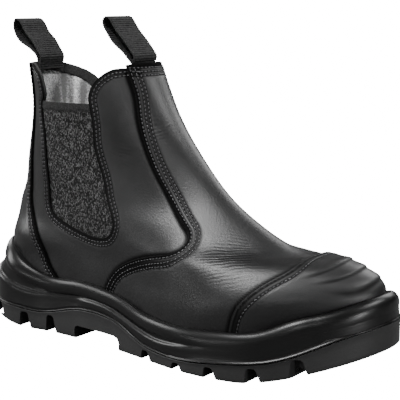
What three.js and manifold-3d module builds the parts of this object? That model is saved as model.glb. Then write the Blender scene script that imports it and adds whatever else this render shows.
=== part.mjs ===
// A side gore safety work boot for the right foot, standing on its sole. Millimetres, +Z up.
// +X points to the toe, +Y to the inner (medial) side. The origin lies on the floor,
// under the middle of the heel tread.
import * as THREE from 'three';
import { mergeVertices } from 'three/addons/utils/BufferGeometryUtils.js';
import Module from 'manifold-3d';

const wasm = await Module();
wasm.setup();

// Overall sizes of the boot
const soleLength = 302;
const ballWidth = 101;
const instepHeight = 107;
const collarHeight = 190;
const heelSeatHeight = 27;
const forefootSeatHeight = 14;
const toeSeatHeight = 22;
const soleRimHeight = 40;
const soleMargin = 6;
const toeSpring = 18;

// Thicknesses and clearances
const wallThickness = 2.4;
const vampThickness = 1.3;
const counterThickness = 1.3;
const toeCapThickness = 1.8;
const goreThickness = 1.4;
const goreInset = 0.5;
const insoleThickness = 3;
const midsoleFloor = 5;
const fit = 0.3;

// Pull loops of folded webbing
const webbingWidth = 25;
const webbingThickness = 1.6;
const loopHeight = 32;
const loopTuck = 12;
const loopGap = 0.6;

// How far up the outline's inward swing dies out, as shares of the instep height
const swingFrom = 0.56;
const swingFadeOver = 0.75;

// Tread of the outsole. The boot's origin lies under the middle of the heel tread.
const heelTreadShare = 0.17;
const heelBreastShare = 0.285;
const archEndShare = 0.432;
const archHeight = 9.5;
const archCorner = 3;
const rockerStartShare = 0.762;
const rockerPower = 1.55;
const heelBevel = 12;
const heelBevelShare = 0.137;
const heelBevelPower = 1.3;
const treadEdgeTuck = 0.8;
const treadEdgeRise = 1.2;
const treadDepth = 4.5;
const slotWidth = 7;
const slotInset = 12;
const slotRoof = 2.4;
const slotNarrowing = 1;
const runnerWidth = 4;
const runnerDepth = 3.5;
const runnerAside = 15;

// Sections of the upper from the feather line to the collar. Each one is a ring that climbs
// from the heel over the side to the toe. The first three columns are heights in storeys:
// 0 is the foot bed, 1 the instep, 2 the collar. The next two are shares of the sole length,
// the five widths are half widths at 10, 30, 50, 70 and 90 % of the ring, as shares of the
// ball width, and the last two are the shares of the ring that round its heel and toe.
const sections = [
  { name: 'feather', heel: 0, side: 0, toe: 0, back: 0.026, front: 0.934,
    widths: [0.325, 0.337, 0.376, 0.467, 0.4], heelRound: 0.16, toeRound: 0.31 },
  { name: 'rim', heel: 0.163, side: 0.237, toe: 0.188, back: 0.017, front: 0.951,
    widths: [0.34, 0.351, 0.396, 0.487, 0.42], heelRound: 0.16, toeRound: 0.32 },
  { name: 'toe wall', heel: 0.338, side: 0.366, toe: 0.365, back: 0.014, front: 0.965,
    widths: [0.345, 0.356, 0.391, 0.477, 0.414], heelRound: 0.16, toeRound: 0.34 },
  { name: 'toe dome', heel: 0.487, side: 0.473, toe: 0.492, back: 0.024, front: 0.924,
    widths: [0.375, 0.356, 0.381, 0.442, 0.385], heelRound: 0.17, toeRound: 0.38 },
  { name: 'cap top', heel: 0.637, side: 0.57, toe: 0.546, back: 0.028, front: 0.875,
    widths: [0.332, 0.356, 0.376, 0.409, 0.35], heelRound: 0.18, toeRound: 0.44 },
  { name: 'vamp', heel: 0.787, side: 0.667, toe: 0.587, back: 0.032, front: 0.794,
    widths: [0.302, 0.356, 0.371, 0.374, 0.304], heelRound: 0.2, toeRound: 0.52 },
  { name: 'forepart', heel: 0.95, side: 0.796, toe: 0.762, back: 0.049, front: 0.698,
    widths: [0.292, 0.356, 0.371, 0.349, 0.29], heelRound: 0.22, toeRound: 0.57 },
  { name: 'instep', heel: 1.133, side: 0.946, toe: 0.988, back: 0.054, front: 0.61,
    widths: [0.288, 0.361, 0.371, 0.339, 0.29], heelRound: 0.28, toeRound: 0.63 },
  { name: 'throat', heel: 1.373, side: 1.253, toe: 1.302, back: 0.065, front: 0.527,
    widths: [0.292, 0.366, 0.376, 0.349, 0.304], heelRound: 0.38, toeRound: 0.62 },
  { name: 'shaft', heel: 1.663, side: 1.639, toe: 1.631, back: 0.078, front: 0.463,
    widths: [0.312, 0.376, 0.386, 0.364, 0.315], heelRound: 0.48, toeRound: 0.6 },
  { name: 'collar', heel: 1.976, side: 1.964, toe: 2, back: 0.074, front: 0.415,
    widths: [0.332, 0.386, 0.396, 0.37, 0.335], heelRound: 0.52, toeRound: 0.56 },
];
const widthStations = [0.1, 0.3, 0.5, 0.7, 0.9];
const heelFallShare = 0.7;
const toeLiftShare = 0.6;

// Below this level the skins are offset straight out, so that all of them end on the bed.
const levelTo = 0.09;

// The foot's inward swing: [share of sole length, sideways shift as a share of ball width]
const swing = [
  [0, 0], [0.199, 0], [0.364, -0.02], [0.497, -0.04],
  [0.629, -0.04], [0.745, 0], [0.861, 0.06], [0.967, 0.13],
];

// Edges of the leather pieces in side view: [share of sole length, height in storeys]
const vampEdge = [
  [0.38, 2.1], [0.389, 1.971], [0.413, 1.749], [0.428, 1.551], [0.449, 1.351], [0.478, 1.155],
  [0.516, 0.976], [0.547, 0.864], [0.576, 0.78], [0.59, 0.735], [0.594, 0.681],
  [0.582, 0.631], [0.547, 0.596], [0.487, 0.543], [0.436, 0.464], [0.408, 0.395],
  [0.388, 0.309], [0.375, 0.226], [0.366, 0.1], [0.362, -0.25],
];
const toeCapEdge = [
  [0.722, -0.25], [0.726, 0], [0.73, 0.137], [0.739, 0.263], [0.749, 0.336], [0.764, 0.395],
  [0.783, 0.451], [0.809, 0.512], [0.828, 0.566], [0.834, 0.62], [0.834, 0.9],
];
const counterEdge = [
  [0.128, 2.2], [0.126, 1.976], [0.121, 1.759], [0.119, 1.572], [0.115, 1.373],
  [0.115, 1.101], [0.119, 0.883], [0.122, 0.805], [0.149, 0.598], [0.176, 0.424],
  [0.199, 0.24], [0.214, 0.178], [0.228, 0], [0.24, -0.25],
];
const collarFront = [
  [0.389, 1.971], [0.367, 1.957], [0.345, 1.901], [0.333, 1.849], [0.328, 1.81], [0.323, 1.727],
];
const goreOutline = [
  [0.325, 1.676], [0.334, 1.492], [0.338, 1.337], [0.351, 1.184], [0.366, 1.033],
  [0.375, 0.927], [0.388, 0.841], [0.399, 0.747], [0.389, 0.656], [0.358, 0.614],
  [0.301, 0.627], [0.244, 0.677], [0.201, 0.767], [0.195, 0.921], [0.195, 1.016],
  [0.192, 1.192], [0.185, 1.457], [0.182, 1.676],
];
const backTabOuter = [[0.19, 1.72], [0.187, 1.82], [0.176, 1.91], [0.15, 1.965], [0.11, 2.05]];
const backTabInner = [
  [0.181, 1.72], [0.172, 1.771], [0.156, 1.843], [0.146, 1.873], [0.127, 1.916],
  [0.109, 1.946], [0.083, 1.985],
];

// Side of the sole, station by station: heights as shares of the rim height
const soleStations = [
  { at: 0, rim: 1.52, ledge: 1.08, parting: 0.54 },
  { at: 0.04, rim: 1.44, ledge: 0.98, parting: 0.47 },
  { at: 0.11, rim: 1.195, ledge: 0.76, parting: 0.38 },
  { at: 0.182, rim: 1, ledge: 0.665, parting: 0.345 },
  { at: 0.285, rim: 1.005, ledge: 0.71, parting: 0.515 },
  { at: 0.37, rim: 0.97, ledge: 0.71, parting: 0.54 },
  { at: 0.43, rim: 0.905, ledge: 0.62, parting: 0.47 },
  { at: 0.49, rim: 0.775, ledge: 0.48, parting: 0.29 },
  { at: 0.56, rim: 0.71, ledge: 0.395, parting: 0.2 },
  { at: 0.63, rim: 0.7, ledge: 0.43, parting: 0.2 },
  { at: 0.742, rim: 0.74, ledge: 0.51, parting: 0.28 },
  { at: 0.825, rim: 0.84, ledge: 0.62, parting: 0.36 },
  { at: 0.871, rim: 0.985, ledge: 0.72, parting: 0.47 },
  { at: 0.937, rim: 1.115, ledge: 0.84, parting: 0.7 },
  { at: 1, rim: 1.29, ledge: 0.98, parting: 0.87 },
];
const soleWidths = [0.342, 0.342, 0.401, 0.5, 0.455];
const soleHeelRound = 0.13;
const soleToeRound = 0.27;

// Profile of the sole's side from the leather down. The drop below the rim line or the ledge
// line is a share of the rim height, and the step out of the outline one of the sole's margin.
const rimProfile = [
  { line: 'rim', drop: 0, out: -1.5 },
  { line: 'rim', drop: 0.005, out: -0.43 },
  { line: 'rim', drop: 0.05, out: -0.15 },
  { line: 'rim', drop: 0.125, out: -0.05 },
  { line: 'rim', drop: 0.2, out: -0.15 },
  { line: 'rim', drop: 0.235, out: -0.27 },
  { line: 'ledge', drop: -0.015, out: -0.25 },
  { line: 'ledge', drop: 0.015, out: 0.02 },
];
const partingStep = 4.5;

// Flare of the sole behind and beside the heel: full below one height and gone above another,
// which are shares of the rim height, and fading out along the sole.
const heelFlare = 6.5;
const flareEndShare = 0.24;
const flareFullBelow = 0.8;
const flareGoneAbove = 1.5;

// Raised ridges over the toe cap in plan view: where their crescents start and end on the toe's
// middle line, as shares of the sole length, and how far they curve back at their tips.
const toeRidges = [
  { from: 0.874, to: 0.899, tipsBack: 0.034 },
  { from: 0.903, to: 0.929, tipsBack: 0.042 },
  { from: 0.933, to: 0.957, tipsBack: 0.05 },
];
const ridgeHalfSpan = 31;
const ridgeFoot = 0.4;
const ridgeHeight = 0.9;

// Lug slots, as shares of the sole length at the middle of each slot
const heelSlots = [0.045, 0.129, 0.206];
const forefootSlots = [0.52, 0.616, 0.702, 0.795, 0.877];

// Pull loops in side view, as shares of the loop height from the point where the webbing
// leaves the collar: up one leg, over the top and down the other.
const backLoop = [
  { forward: -0.06, up: 0.15 }, { forward: -0.2, up: 0.28 }, { forward: -0.37, up: 0.38 },
  { forward: -0.565, up: 0.48 }, { forward: -0.7, up: 0.64 }, { forward: -0.75, up: 0.84 },
  { forward: -0.7, up: 0.96 }, { forward: -0.59, up: 0.94 }, { forward: -0.405, up: 0.7 },
  { forward: -0.185, up: 0.49 }, { forward: -0.03, up: 0.28 }, { forward: 0.055, up: 0.14 },
];
const frontLoop = [
  { forward: -0.09, up: 0.1 }, { forward: -0.22, up: 0.23 }, { forward: -0.37, up: 0.34 },
  { forward: -0.56, up: 0.5 }, { forward: -0.69, up: 0.68 }, { forward: -0.77, up: 0.82 },
  { forward: -0.76, up: 0.93 }, { forward: -0.68, up: 0.97 }, { forward: -0.48, up: 0.79 },
  { forward: -0.17, up: 0.45 }, { forward: 0.0, up: 0.25 }, { forward: 0.07, up: 0.12 },
];

// Resolution of the faceted skins
const columns = 24;
const footRows = 10;
const shaftRows = 6;
const cutterReach = 200;

// A natural cubic spline through [x, y] points, straight beyond its ends.
function naturalSpline(points) {
  const n = points.length;
  const bend = new Array(n).fill(0);
  const carry = new Array(n).fill(0);
  for (let i = 1; i < n - 1; i += 1) {
    const before = points[i][0] - points[i - 1][0];
    const after = points[i + 1][0] - points[i][0];
    const slopes = (points[i + 1][1] - points[i][1]) / after
      - (points[i][1] - points[i - 1][1]) / before;
    const pivot = 2 * (before + after) - before * carry[i - 1];
    carry[i] = after / pivot;
    bend[i] = (6 * slopes - before * bend[i - 1]) / pivot;
  }
  for (let i = n - 2; i > 0; i -= 1) {
    bend[i] -= carry[i] * bend[i + 1];
  }
  const inside = (x) => {
    let i = 0;
    while (i < n - 2 && x > points[i + 1][0]) {
      i += 1;
    }
    const [x0, y0] = points[i];
    const [x1, y1] = points[i + 1];
    const h = x1 - x0;
    const a = (x1 - x) / h;
    const b = (x - x0) / h;
    return a * y0 + b * y1 + ((a ** 3 - a) * bend[i] + (b ** 3 - b) * bend[i + 1]) * h * h / 6;
  };
  const [firstX, firstY] = points[0];
  const [lastX, lastY] = points[n - 1];
  const nudge = (lastX - firstX) * 1e-5;
  const firstSlope = (inside(firstX + nudge) - firstY) / nudge;
  const lastSlope = (lastY - inside(lastX - nudge)) / nudge;
  return (x) => {
    if (x < firstX) {
      return firstY + (x - firstX) * firstSlope;
    }
    if (x > lastX) {
      return lastY + (x - lastX) * lastSlope;
    }
    return inside(x);
  };
}

const clamp = THREE.MathUtils.clamp;
const smoother = (t) => THREE.MathUtils.smootherstep(t, 0, 1);

// Half width of a rounded end: 0 at its tip, 1 where the round is over.
function roundEnd(t) {
  return Math.sqrt(Math.max(0, 1 - (1 - clamp(t, 0, 1)) ** 2.5));
}

// Height of a storey over a foot bed at the given height.
function storeyHeight(storey, bed) {
  if (storey < 1) {
    return bed + (instepHeight - bed) * storey;
  }
  return instepHeight + (collarHeight - instepHeight) * (storey - 1);
}

// A height that goes from the heel's to the side's value over the first part of a ring, and
// lifts to the toe's over its last part.
function lengthwise(share, heel, side, toe) {
  const lift = clamp(1 - (1 - share) / toeLiftShare, 0, 1);
  return heel + (side - heel) * smoother(share / heelFallShare) + (toe - side) * lift ** 3;
}

function bedHeight(share) {
  return lengthwise(share, heelSeatHeight, forefootSeatHeight, toeSeatHeight);
}

const swingSpline = naturalSpline(swing.map(([at, shift]) => [at * soleLength, shift * ballWidth]));
const ringSpline = (read) => naturalSpline(
  sections.map((section, i) => [i / (sections.length - 1), read(section)]));
const last = {
  heel: ringSpline((s) => storeyHeight(s.heel, heelSeatHeight)),
  side: ringSpline((s) => storeyHeight(s.side, forefootSeatHeight)),
  toe: ringSpline((s) => storeyHeight(s.toe, toeSeatHeight)),
  back: ringSpline((s) => s.back * soleLength),
  front: ringSpline((s) => s.front * soleLength),
  widths: widthStations.map((_, k) => ringSpline((s) => s.widths[k] * ballWidth)),
  heelRound: ringSpline((s) => s.heelRound),
  toeRound: ringSpline((s) => s.toeRound),
};

// One ring of the last at level v (0 foot bed, 1 collar) as a function of the angle u:
// 0 is the toe, half a turn the heel, and the outer side comes first.
function lastRing(v) {
  const back = last.back(v);
  const front = last.front(v);
  const width = naturalSpline(widthStations.map((at, k) => [at, last.widths[k](v)]));
  const heelRound = last.heelRound(v);
  const toeRound = last.toeRound(v);
  const heel = last.heel(v);
  const side = last.side(v);
  const toe = last.toe(v);
  return (u) => {
    const share = (1 + Math.cos(u)) / 2;
    const half = width(share) * roundEnd(share / heelRound) * roundEnd((1 - share) / toeRound);
    const x = back + (front - back) * share;
    const z = lengthwise(share, heel, side, toe);
    const fade = 1 - smoother((z / instepHeight - swingFrom) / swingFadeOver);
    return new THREE.Vector3(x, swingSpline(x) * fade - Math.sign(Math.sin(u)) * half, z);
  };
}

// Points of a closed ring of the upper's skin, moved outwards by a distance.
function skinRing(v, distance, at = angles) {
  const step = 1e-4;
  const ring = lastRing(v);
  const above = lastRing(v + step);
  const below = lastRing(v - step);
  return at.map((u) => {
    const point = ring(u);
    const along = ring(u + step).sub(ring(u - step));
    const up = above(u).sub(below(u));
    const normal = up.cross(along);
    normal.z *= smoother(v / levelTo);
    normal.normalize();
    return point.addScaledVector(normal, distance);
  });
}

// Every skin of the upper uses the same angles and levels, closer together over the foot than
// over the shaft, so that two skins are parallel facet by facet.
const angles = Array.from({ length: 2 * columns }, (_, i) => Math.PI * i / columns);
const footTop = 0.5;
const footLevels = Array.from({ length: footRows + 1 }, (_, i) => footTop * i / footRows);
const shaftLevels = Array.from(
  { length: shaftRows }, (_, i) => footTop + (1 - footTop) * (i + 1) / shaftRows);
const allLevels = footLevels.concat(shaftLevels);

// A closed solid from triangles; turned right side out if its rings ran the other way.
function solidFrom(points, triangles) {
  let volume = 0;
  for (const [a, b, c] of triangles) {
    volume += points[a].dot(new THREE.Vector3().crossVectors(points[b], points[c]));
  }
  const facing = volume > 0 ? triangles : triangles.map(([a, b, c]) => [a, c, b]);
  return new wasm.Manifold(new wasm.Mesh({
    numProp: 3,
    vertProperties: Float32Array.from(points.flatMap((p) => [p.x, p.y, p.z])),
    triVerts: Uint32Array.from(facing.flat()),
  }));
}

// Triangles between rings. From the ring numbered turnAt the rings run downwards again, and
// their squares are split the other way, so that both skins of a wall have the same facets.
function stitchRings(rings, closed, turnAt = Infinity) {
  const size = rings[0].length;
  const triangles = [];
  const spans = closed ? rings.length : rings.length - 1;
  for (let r = 0; r < spans; r += 1) {
    const low = r * size;
    const high = ((r + 1) % rings.length) * size;
    for (let i = 0; i < size; i += 1) {
      const j = (i + 1) % size;
      if (r < turnAt) {
        triangles.push([low + i, low + j, high + j], [low + i, high + j, high + i]);
      } else {
        triangles.push([low + i, low + j, high + i], [low + j, high + j, high + i]);
      }
    }
  }
  return triangles;
}

// Closes a ring with rungs from its outer to its inner side.
function ladder(first, size, flip) {
  const half = size / 2;
  const triangles = [];
  for (let i = 0; i < half; i += 1) {
    const a = first + i;
    const b = first + i + 1;
    const c = first + (size - i - 1) % size;
    const d = first + (size - i) % size;
    if (i < half - 1) {
      triangles.push([a, b, c]);
    }
    if (i > 0) {
      triangles.push([a, c, d]);
    }
    if (i === half - 1 && c !== b) {
      triangles.push([a, b, c]);
    }
  }
  return flip ? triangles.map(([a, b, c]) => [a, c, b]) : triangles;
}

// A solid stack of rings, closed below and above.
function stack(rings) {
  const size = rings[0].length;
  const triangles = stitchRings(rings, false).concat(
    ladder(0, size, true), ladder((rings.length - 1) * size, size, false));
  return solidFrom(rings.flat(), triangles);
}

// A wall between an outer and an inner skin, open at both ends.
function wall(outer, inner) {
  const rings = outer.concat([...inner].reverse());
  return solidFrom(rings.flat(), stitchRings(rings, true, outer.length));
}

function solidOfGeometry(geometry) {
  const bare = geometry.clone();
  bare.deleteAttribute('normal');
  bare.deleteAttribute('uv');
  const merged = mergeVertices(bare, 1e-4);
  return new wasm.Manifold(new wasm.Mesh({
    numProp: 3,
    vertProperties: Float32Array.from(merged.attributes.position.array),
    triVerts: Uint32Array.from(merged.index.array),
  }));
}

// Side view place of [share of sole length, storey] as a point (x, z).
function place([share, storey]) {
  return new THREE.Vector2(share * soleLength, storeyHeight(storey, bedHeight(share)));
}

// The outline moved outwards by a distance, or inwards by a negative one.
function grow(outline, distance) {
  const turn = THREE.ShapeUtils.isClockWise(outline) ? -1 : 1;
  return outline.map((point, i) => {
    const before = outline[(i + outline.length - 1) % outline.length];
    const after = outline[(i + 1) % outline.length];
    const first = point.clone().sub(before).normalize();
    const second = after.clone().sub(point).normalize();
    const middle = first.clone().add(second).normalize();
    const normal = new THREE.Vector2(middle.y, -middle.x).multiplyScalar(turn);
    const reach = distance / Math.max(0.4, middle.dot(first));
    return point.clone().addScaledVector(normal, reach);
  });
}

// A cutter with a side view outline, running across the boot from one Y to another.
function sideCutter(outline, fromY, toY) {
  const geometry = new THREE.ExtrudeGeometry(new THREE.Shape(outline), {
    depth: toY - fromY,
    bevelEnabled: false,
    steps: 1,
  });
  geometry.rotateX(Math.PI / 2);
  geometry.translate(0, toY, 0);
  return solidOfGeometry(geometry);
}

const overFront = new THREE.Vector2(soleLength + cutterReach, collarHeight + cutterReach);
const underFront = new THREE.Vector2(soleLength + cutterReach, -cutterReach);
const overBack = new THREE.Vector2(-cutterReach, collarHeight + cutterReach);
const underBack = new THREE.Vector2(-cutterReach, -cutterReach);

function vampRegion() {
  const edge = vampEdge.map(place);
  return [new THREE.Vector2(edge[0].x, overFront.y), ...edge,
    new THREE.Vector2(edge.at(-1).x, underFront.y), underFront, overFront];
}

function toeCapRegion() {
  const edge = toeCapEdge.map(place);
  return [new THREE.Vector2(edge[0].x, underFront.y), ...edge,
    new THREE.Vector2(edge.at(-1).x, overFront.y), overFront, underFront];
}

function counterRegion() {
  const edge = counterEdge.map(place);
  return [new THREE.Vector2(edge[0].x, overBack.y), ...edge,
    new THREE.Vector2(edge.at(-1).x, underBack.y), underBack, overBack];
}

// The opening of one side: the dip of the collar and the gore window below it.
function notchRegion(backTab) {
  const front = collarFront.map(place);
  const gore = goreOutline.map(place);
  const tab = backTab.map(place);
  return [new THREE.Vector2(front[0].x, overFront.y), ...front, ...gore, ...tab,
    new THREE.Vector2(tab.at(-1).x, overBack.y)];
}

function across(outline) {
  return sideCutter(outline, -cutterReach, cutterReach);
}

const skin = (distance, levels = allLevels) => levels.map((v) => skinRing(v, distance));

// The upper: one lasted wall, doubled where the vamp lies over the quarters, with the dip of
// the collar and the gore windows cut out, and open underneath. The doubling stops just short
// of the wall's own edges.
function buildUpper() {
  const quarters = wall(skin(0), skin(-wallThickness));
  const shortOf = 0.004;
  const vampLevels = [shortOf, ...allLevels.slice(1, -1), 1 - shortOf];
  const vampSkin = wall(
    skin(vampThickness, vampLevels), skin(-wallThickness / 2, vampLevels));
  const vamp = vampSkin.intersect(across(vampRegion()));
  return quarters.add(vamp)
    .subtract(sideCutter(notchRegion(backTabOuter), -cutterReach, 0))
    .subtract(sideCutter(notchRegion(backTabInner), 0, cutterReach));
}

// The bumper cap over the toe of the vamp.
function buildToeCap() {
  const inside = vampThickness + fit;
  const outside = inside + toeCapThickness;
  const ridgeSkin = wall(skin(outside + ridgeHeight, footLevels), skin(inside, footLevels));
  const plain = wall(skin(outside, footLevels), skin(inside, footLevels))
    .intersect(across(toeCapRegion()));
  return toeRidges.reduce(
    (cap, ridge) => cap.add(ridgeSkin.intersect(ridgeCutter(ridge))), plain);
}

// An upright cutter with the plan outline of one crescent ridge.
function ridgeCutter({ from, to, tipsBack }) {
  const steps = 6;
  const tip = (from - tipsBack) * soleLength;
  const middle = swingSpline(from * soleLength);
  const arc = (crown) => Array.from({ length: steps + 1 }, (_, i) => {
    const aside = 2 * i / steps - 1;
    return new THREE.Vector2(tip + (crown - tip) * (1 - aside ** 2), middle + aside * ridgeHalfSpan);
  });
  const outline = [...arc(to * soleLength), ...arc(from * soleLength).slice(1, -1).reverse()];
  const geometry = new THREE.ExtrudeGeometry(new THREE.Shape(outline), {
    depth: collarHeight,
    bevelEnabled: false,
    steps: 1,
  });
  geometry.translate(0, 0, storeyHeight(ridgeFoot, toeSeatHeight));
  return solidOfGeometry(geometry);
}

function buildHeelCounter() {
  return wall(skin(fit + counterThickness), skin(fit))
    .intersect(across(counterRegion()))
    .subtract(sideCutter(notchRegion(backTabOuter), -cutterReach, 0))
    .subtract(sideCutter(notchRegion(backTabInner), 0, cutterReach));
}

// One elastic gore, standing in its window with a clearance all round.
function buildGore(fromY, toY) {
  const window = grow(goreOutline.map(place), -fit);
  return wall(skin(-goreInset), skin(-goreInset - goreThickness))
    .intersect(sideCutter(window, fromY, toY));
}

// The loose sock board inside the upper.
function buildInsole() {
  const edge = skinRing(0, -wallThickness - fit);
  const lifted = edge.map((p) => p.clone().setZ(p.z + insoleThickness));
  return stack([edge, lifted]);
}

// The sole's outline and side lines
const soleWidth = naturalSpline(widthStations.map(
  (at, k) => [at, soleWidths[k] * ballWidth + soleMargin]));
const soleLine = (read) => naturalSpline(soleStations.map((s) => [s.at, read(s) * soleRimHeight]));
const soleLines = {
  rim: soleLine((s) => s.rim),
  ledge: soleLine((s) => s.ledge),
  parting: soleLine((s) => s.parting),
};

// How far the heel flares at a share of the sole length and a height.
function flare(share, z) {
  const rise = (z / soleRimHeight - flareFullBelow) / (flareGoneAbove - flareFullBelow);
  return heelFlare * (1 - smoother(share / flareEndShare)) * (1 - smoother(rise));
}

// Points of a ring on the sole's outline, moved outwards, with a height for each share.
function soleRing(out, height) {
  return angles.map((u) => {
    const share = (1 + Math.cos(u)) / 2;
    const z = height(share);
    const grown = out + flare(share, z);
    const x = -grown + (soleLength + 2 * grown) * share;
    const half = (soleWidth(clamp(x / soleLength, 0.1, 0.9)) + grown)
      * roundEnd(share / soleHeelRound) * roundEnd((1 - share) / soleToeRound);
    const centre = swingSpline(clamp(x, 0, soleLength));
    return new THREE.Vector3(x, centre - Math.sign(Math.sin(u)) * half, z);
  });
}

// The underside: flat under heel and ball, lifted at the back, with a toe spring.
function treadHeight(share) {
  const rocker = clamp((share - rockerStartShare) / (1 - rockerStartShare), 0, 1);
  const bevel = clamp(1 - share / heelBevelShare, 0, 1);
  return toeSpring * rocker ** rockerPower + heelBevel * bevel ** heelBevelPower;
}

// Height of the joint between midsole and outsole behind the outer step.
function innerParting(share) {
  return Math.min(soleLines.parting(share), bedHeight(share) - midsoleFloor);
}

// The solid that the upper and its overlays take up inside the sole's cup. Each of the
// three parts reaches a little deeper than the one before, so no two faces coincide.
function buildCavity() {
  const deeper = 0.01;
  const part = (distance, order) => {
    const rings = skin(distance + fit, footLevels);
    const drop = fit + deeper * order;
    return stack([rings[0].map((p) => p.clone().setZ(p.z - drop)), ...rings]);
  };
  const vamp = part(vampThickness, 1).intersect(across(grow(vampRegion(), fit)));
  const counter = part(fit + counterThickness, 2).intersect(across(grow(counterRegion(), fit)));
  const toeCap = part(vampThickness + fit + toeCapThickness, 3)
    .intersect(across(grow(toeCapRegion(), fit)));
  return part(0, 0).add(vamp).add(counter).add(toeCap);
}

function buildMidsole() {
  const seam = (share) => soleLines.parting(share) + fit;
  const side = rimProfile.map(
    ({ line, drop, out }) => soleRing(
      out * soleMargin, (share) => soleLines[line](share) - drop * soleRimHeight));
  return stack([
    ...side,
    soleRing(-fit, seam),
    soleRing(-partingStep - fit, (share) => innerParting(share) + fit),
  ]).subtract(buildCavity());
}

// A cutter with a plan outline box, upright between two heights.
function boxCutter(fromX, toX, fromY, toY, fromZ, toZ) {
  const geometry = new THREE.BoxGeometry(toX - fromX, toY - fromY, toZ - fromZ);
  geometry.translate((fromX + toX) / 2, (fromY + toY) / 2, (fromZ + toZ) / 2);
  return solidOfGeometry(geometry);
}

function buildOutsole() {
  const rings = [
    soleRing(-treadEdgeTuck, treadHeight),
    soleRing(0, (share) => treadHeight(share) + treadEdgeRise),
    soleRing(0, soleLines.parting),
    soleRing(-partingStep, innerParting),
  ];
  let body = stack(rings);
  const below = -cutterReach;
  const breast = heelBreastShare * soleLength;
  const archEnd = archEndShare * soleLength;
  body = body.subtract(across([
    new THREE.Vector2(breast, below),
    new THREE.Vector2(breast, archHeight - archCorner),
    new THREE.Vector2(breast + archCorner, archHeight),
    new THREE.Vector2(archEnd - archCorner, archHeight),
    new THREE.Vector2(archEnd, archHeight - archCorner),
    new THREE.Vector2(archEnd, below),
  ]));
  for (const at of [...heelSlots, ...forefootSlots]) {
    const x = at * soleLength;
    const roof = soleLines.parting(at) - slotRoof;
    const side = swingSpline(x);
    const half = soleWidth(clamp(at, 0.1, 0.9)) - slotInset;
    const left = x - slotWidth / 2;
    const right = x + slotWidth / 2;
    body = body
      .subtract(boxCutter(left, right, below, side - half, below, roof))
      .subtract(boxCutter(left, right, side + half, cutterReach, below, roof));
    if (at > heelSlots[0]) {
      body = body.subtract(boxCutter(
        left + slotNarrowing, right - slotNarrowing, below, cutterReach,
        below, treadHeight(at) + treadDepth));
    }
  }
  const runners = [[heelSlots[0], heelBreastShare], [archEndShare, forefootSlots.at(-2)]];
  for (const [from, to] of runners) {
    for (const aside of [-runnerAside, runnerAside]) {
      const middle = aside + swingSpline((from + to) * soleLength / 2);
      body = body.subtract(boxCutter(from * soleLength, to * soleLength,
        middle - runnerWidth / 2, middle + runnerWidth / 2, below, runnerDepth));
    }
  }
  return body;
}

// Halves a span until it has closed on the value where a rising test stops being true.
function closeIn(from, to, test) {
  let near = from;
  let far = to;
  for (let i = 0; i < 24; i += 1) {
    const middle = (near + far) / 2;
    if (test(middle)) {
      near = middle;
    } else {
      far = middle;
    }
  }
  return near;
}

// Where the inner face of the wall stands at a height and a distance aside from the middle,
// at the heel's or the toe's end of the collar.
function wallPlace(height, aside, atHeel) {
  const inner = (v) => {
    const at = (u) => skinRing(v, -wallThickness, [u])[0];
    const end = atHeel ? Math.PI : 0;
    return at(closeIn(end, Math.PI / 2, (u) => Math.abs(at(u).y) < aside));
  };
  return inner(closeIn(footTop, 1, (v) => inner(v).z < height)).x;
}

// A loop of webbing: both legs tucked inside the collar, one behind the other.
function buildPullLoop(shape, atHeel) {
  const rim = storeyHeight(atHeel ? sections.at(-1).heel : sections.at(-1).toe, heelSeatHeight);
  const inward = atHeel ? 1 : -1;
  const legAt = (order, height) => new THREE.Vector2(
    wallPlace(height, webbingWidth / 2, atHeel)
      + inward * (loopGap + (webbingThickness + fit) * order + webbingThickness / 2), height);
  const outerLeg = [legAt(0, rim - loopTuck), legAt(0, rim)];
  const innerLeg = [legAt(1, rim), legAt(1, rim - loopTuck)];
  const root = legAt(0.5, rim);
  const bow = shape.map(({ forward, up }) => new THREE.Vector2(
    root.x + forward * loopHeight, root.y + up * loopHeight));
  const path = atHeel ? [...outerLeg, ...bow, ...innerLeg] : [...innerLeg.reverse(), ...bow,
    ...outerLeg.reverse()];
  const centre = new THREE.SplineCurve(path).getPoints(path.length * 2);
  const offset = (side) => centre.map((point, i) => {
    const before = centre[Math.max(0, i - 1)];
    const after = centre[Math.min(centre.length - 1, i + 1)];
    const along = after.clone().sub(before).normalize();
    return new THREE.Vector2(-along.y, along.x).multiplyScalar(side * webbingThickness / 2)
      .add(point);
  });
  const outline = offset(1).concat(offset(-1).reverse());
  return sideCutter(outline, -webbingWidth / 2, webbingWidth / 2);
}

// Materials
const finish = (color, roughness) => new THREE.MeshStandardMaterial({
  color, roughness, metalness: 0,
});
const leather = finish(0x17181a, 0.42);
const bumperLeather = finish(0x1b1c1e, 0.5);
const elastic = finish(0x2b2c2e, 0.9);
const webbing = finish(0x26272a, 0.85);
const foam = finish(0x1a1b1c, 0.45);
const rubber = finish(0x151616, 0.6);
const board = finish(0x6f7276, 0.95);

function namedMesh(name, solid, material) {
  const { vertProperties, triVerts } = solid.getMesh();
  const geometry = new THREE.BufferGeometry();
  geometry.setAttribute('position', new THREE.BufferAttribute(vertProperties, 3));
  geometry.setIndex(new THREE.BufferAttribute(triVerts, 1));
  geometry.computeVertexNormals();
  const mesh = new THREE.Mesh(geometry, material);
  mesh.name = name;
  return mesh;
}

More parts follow.
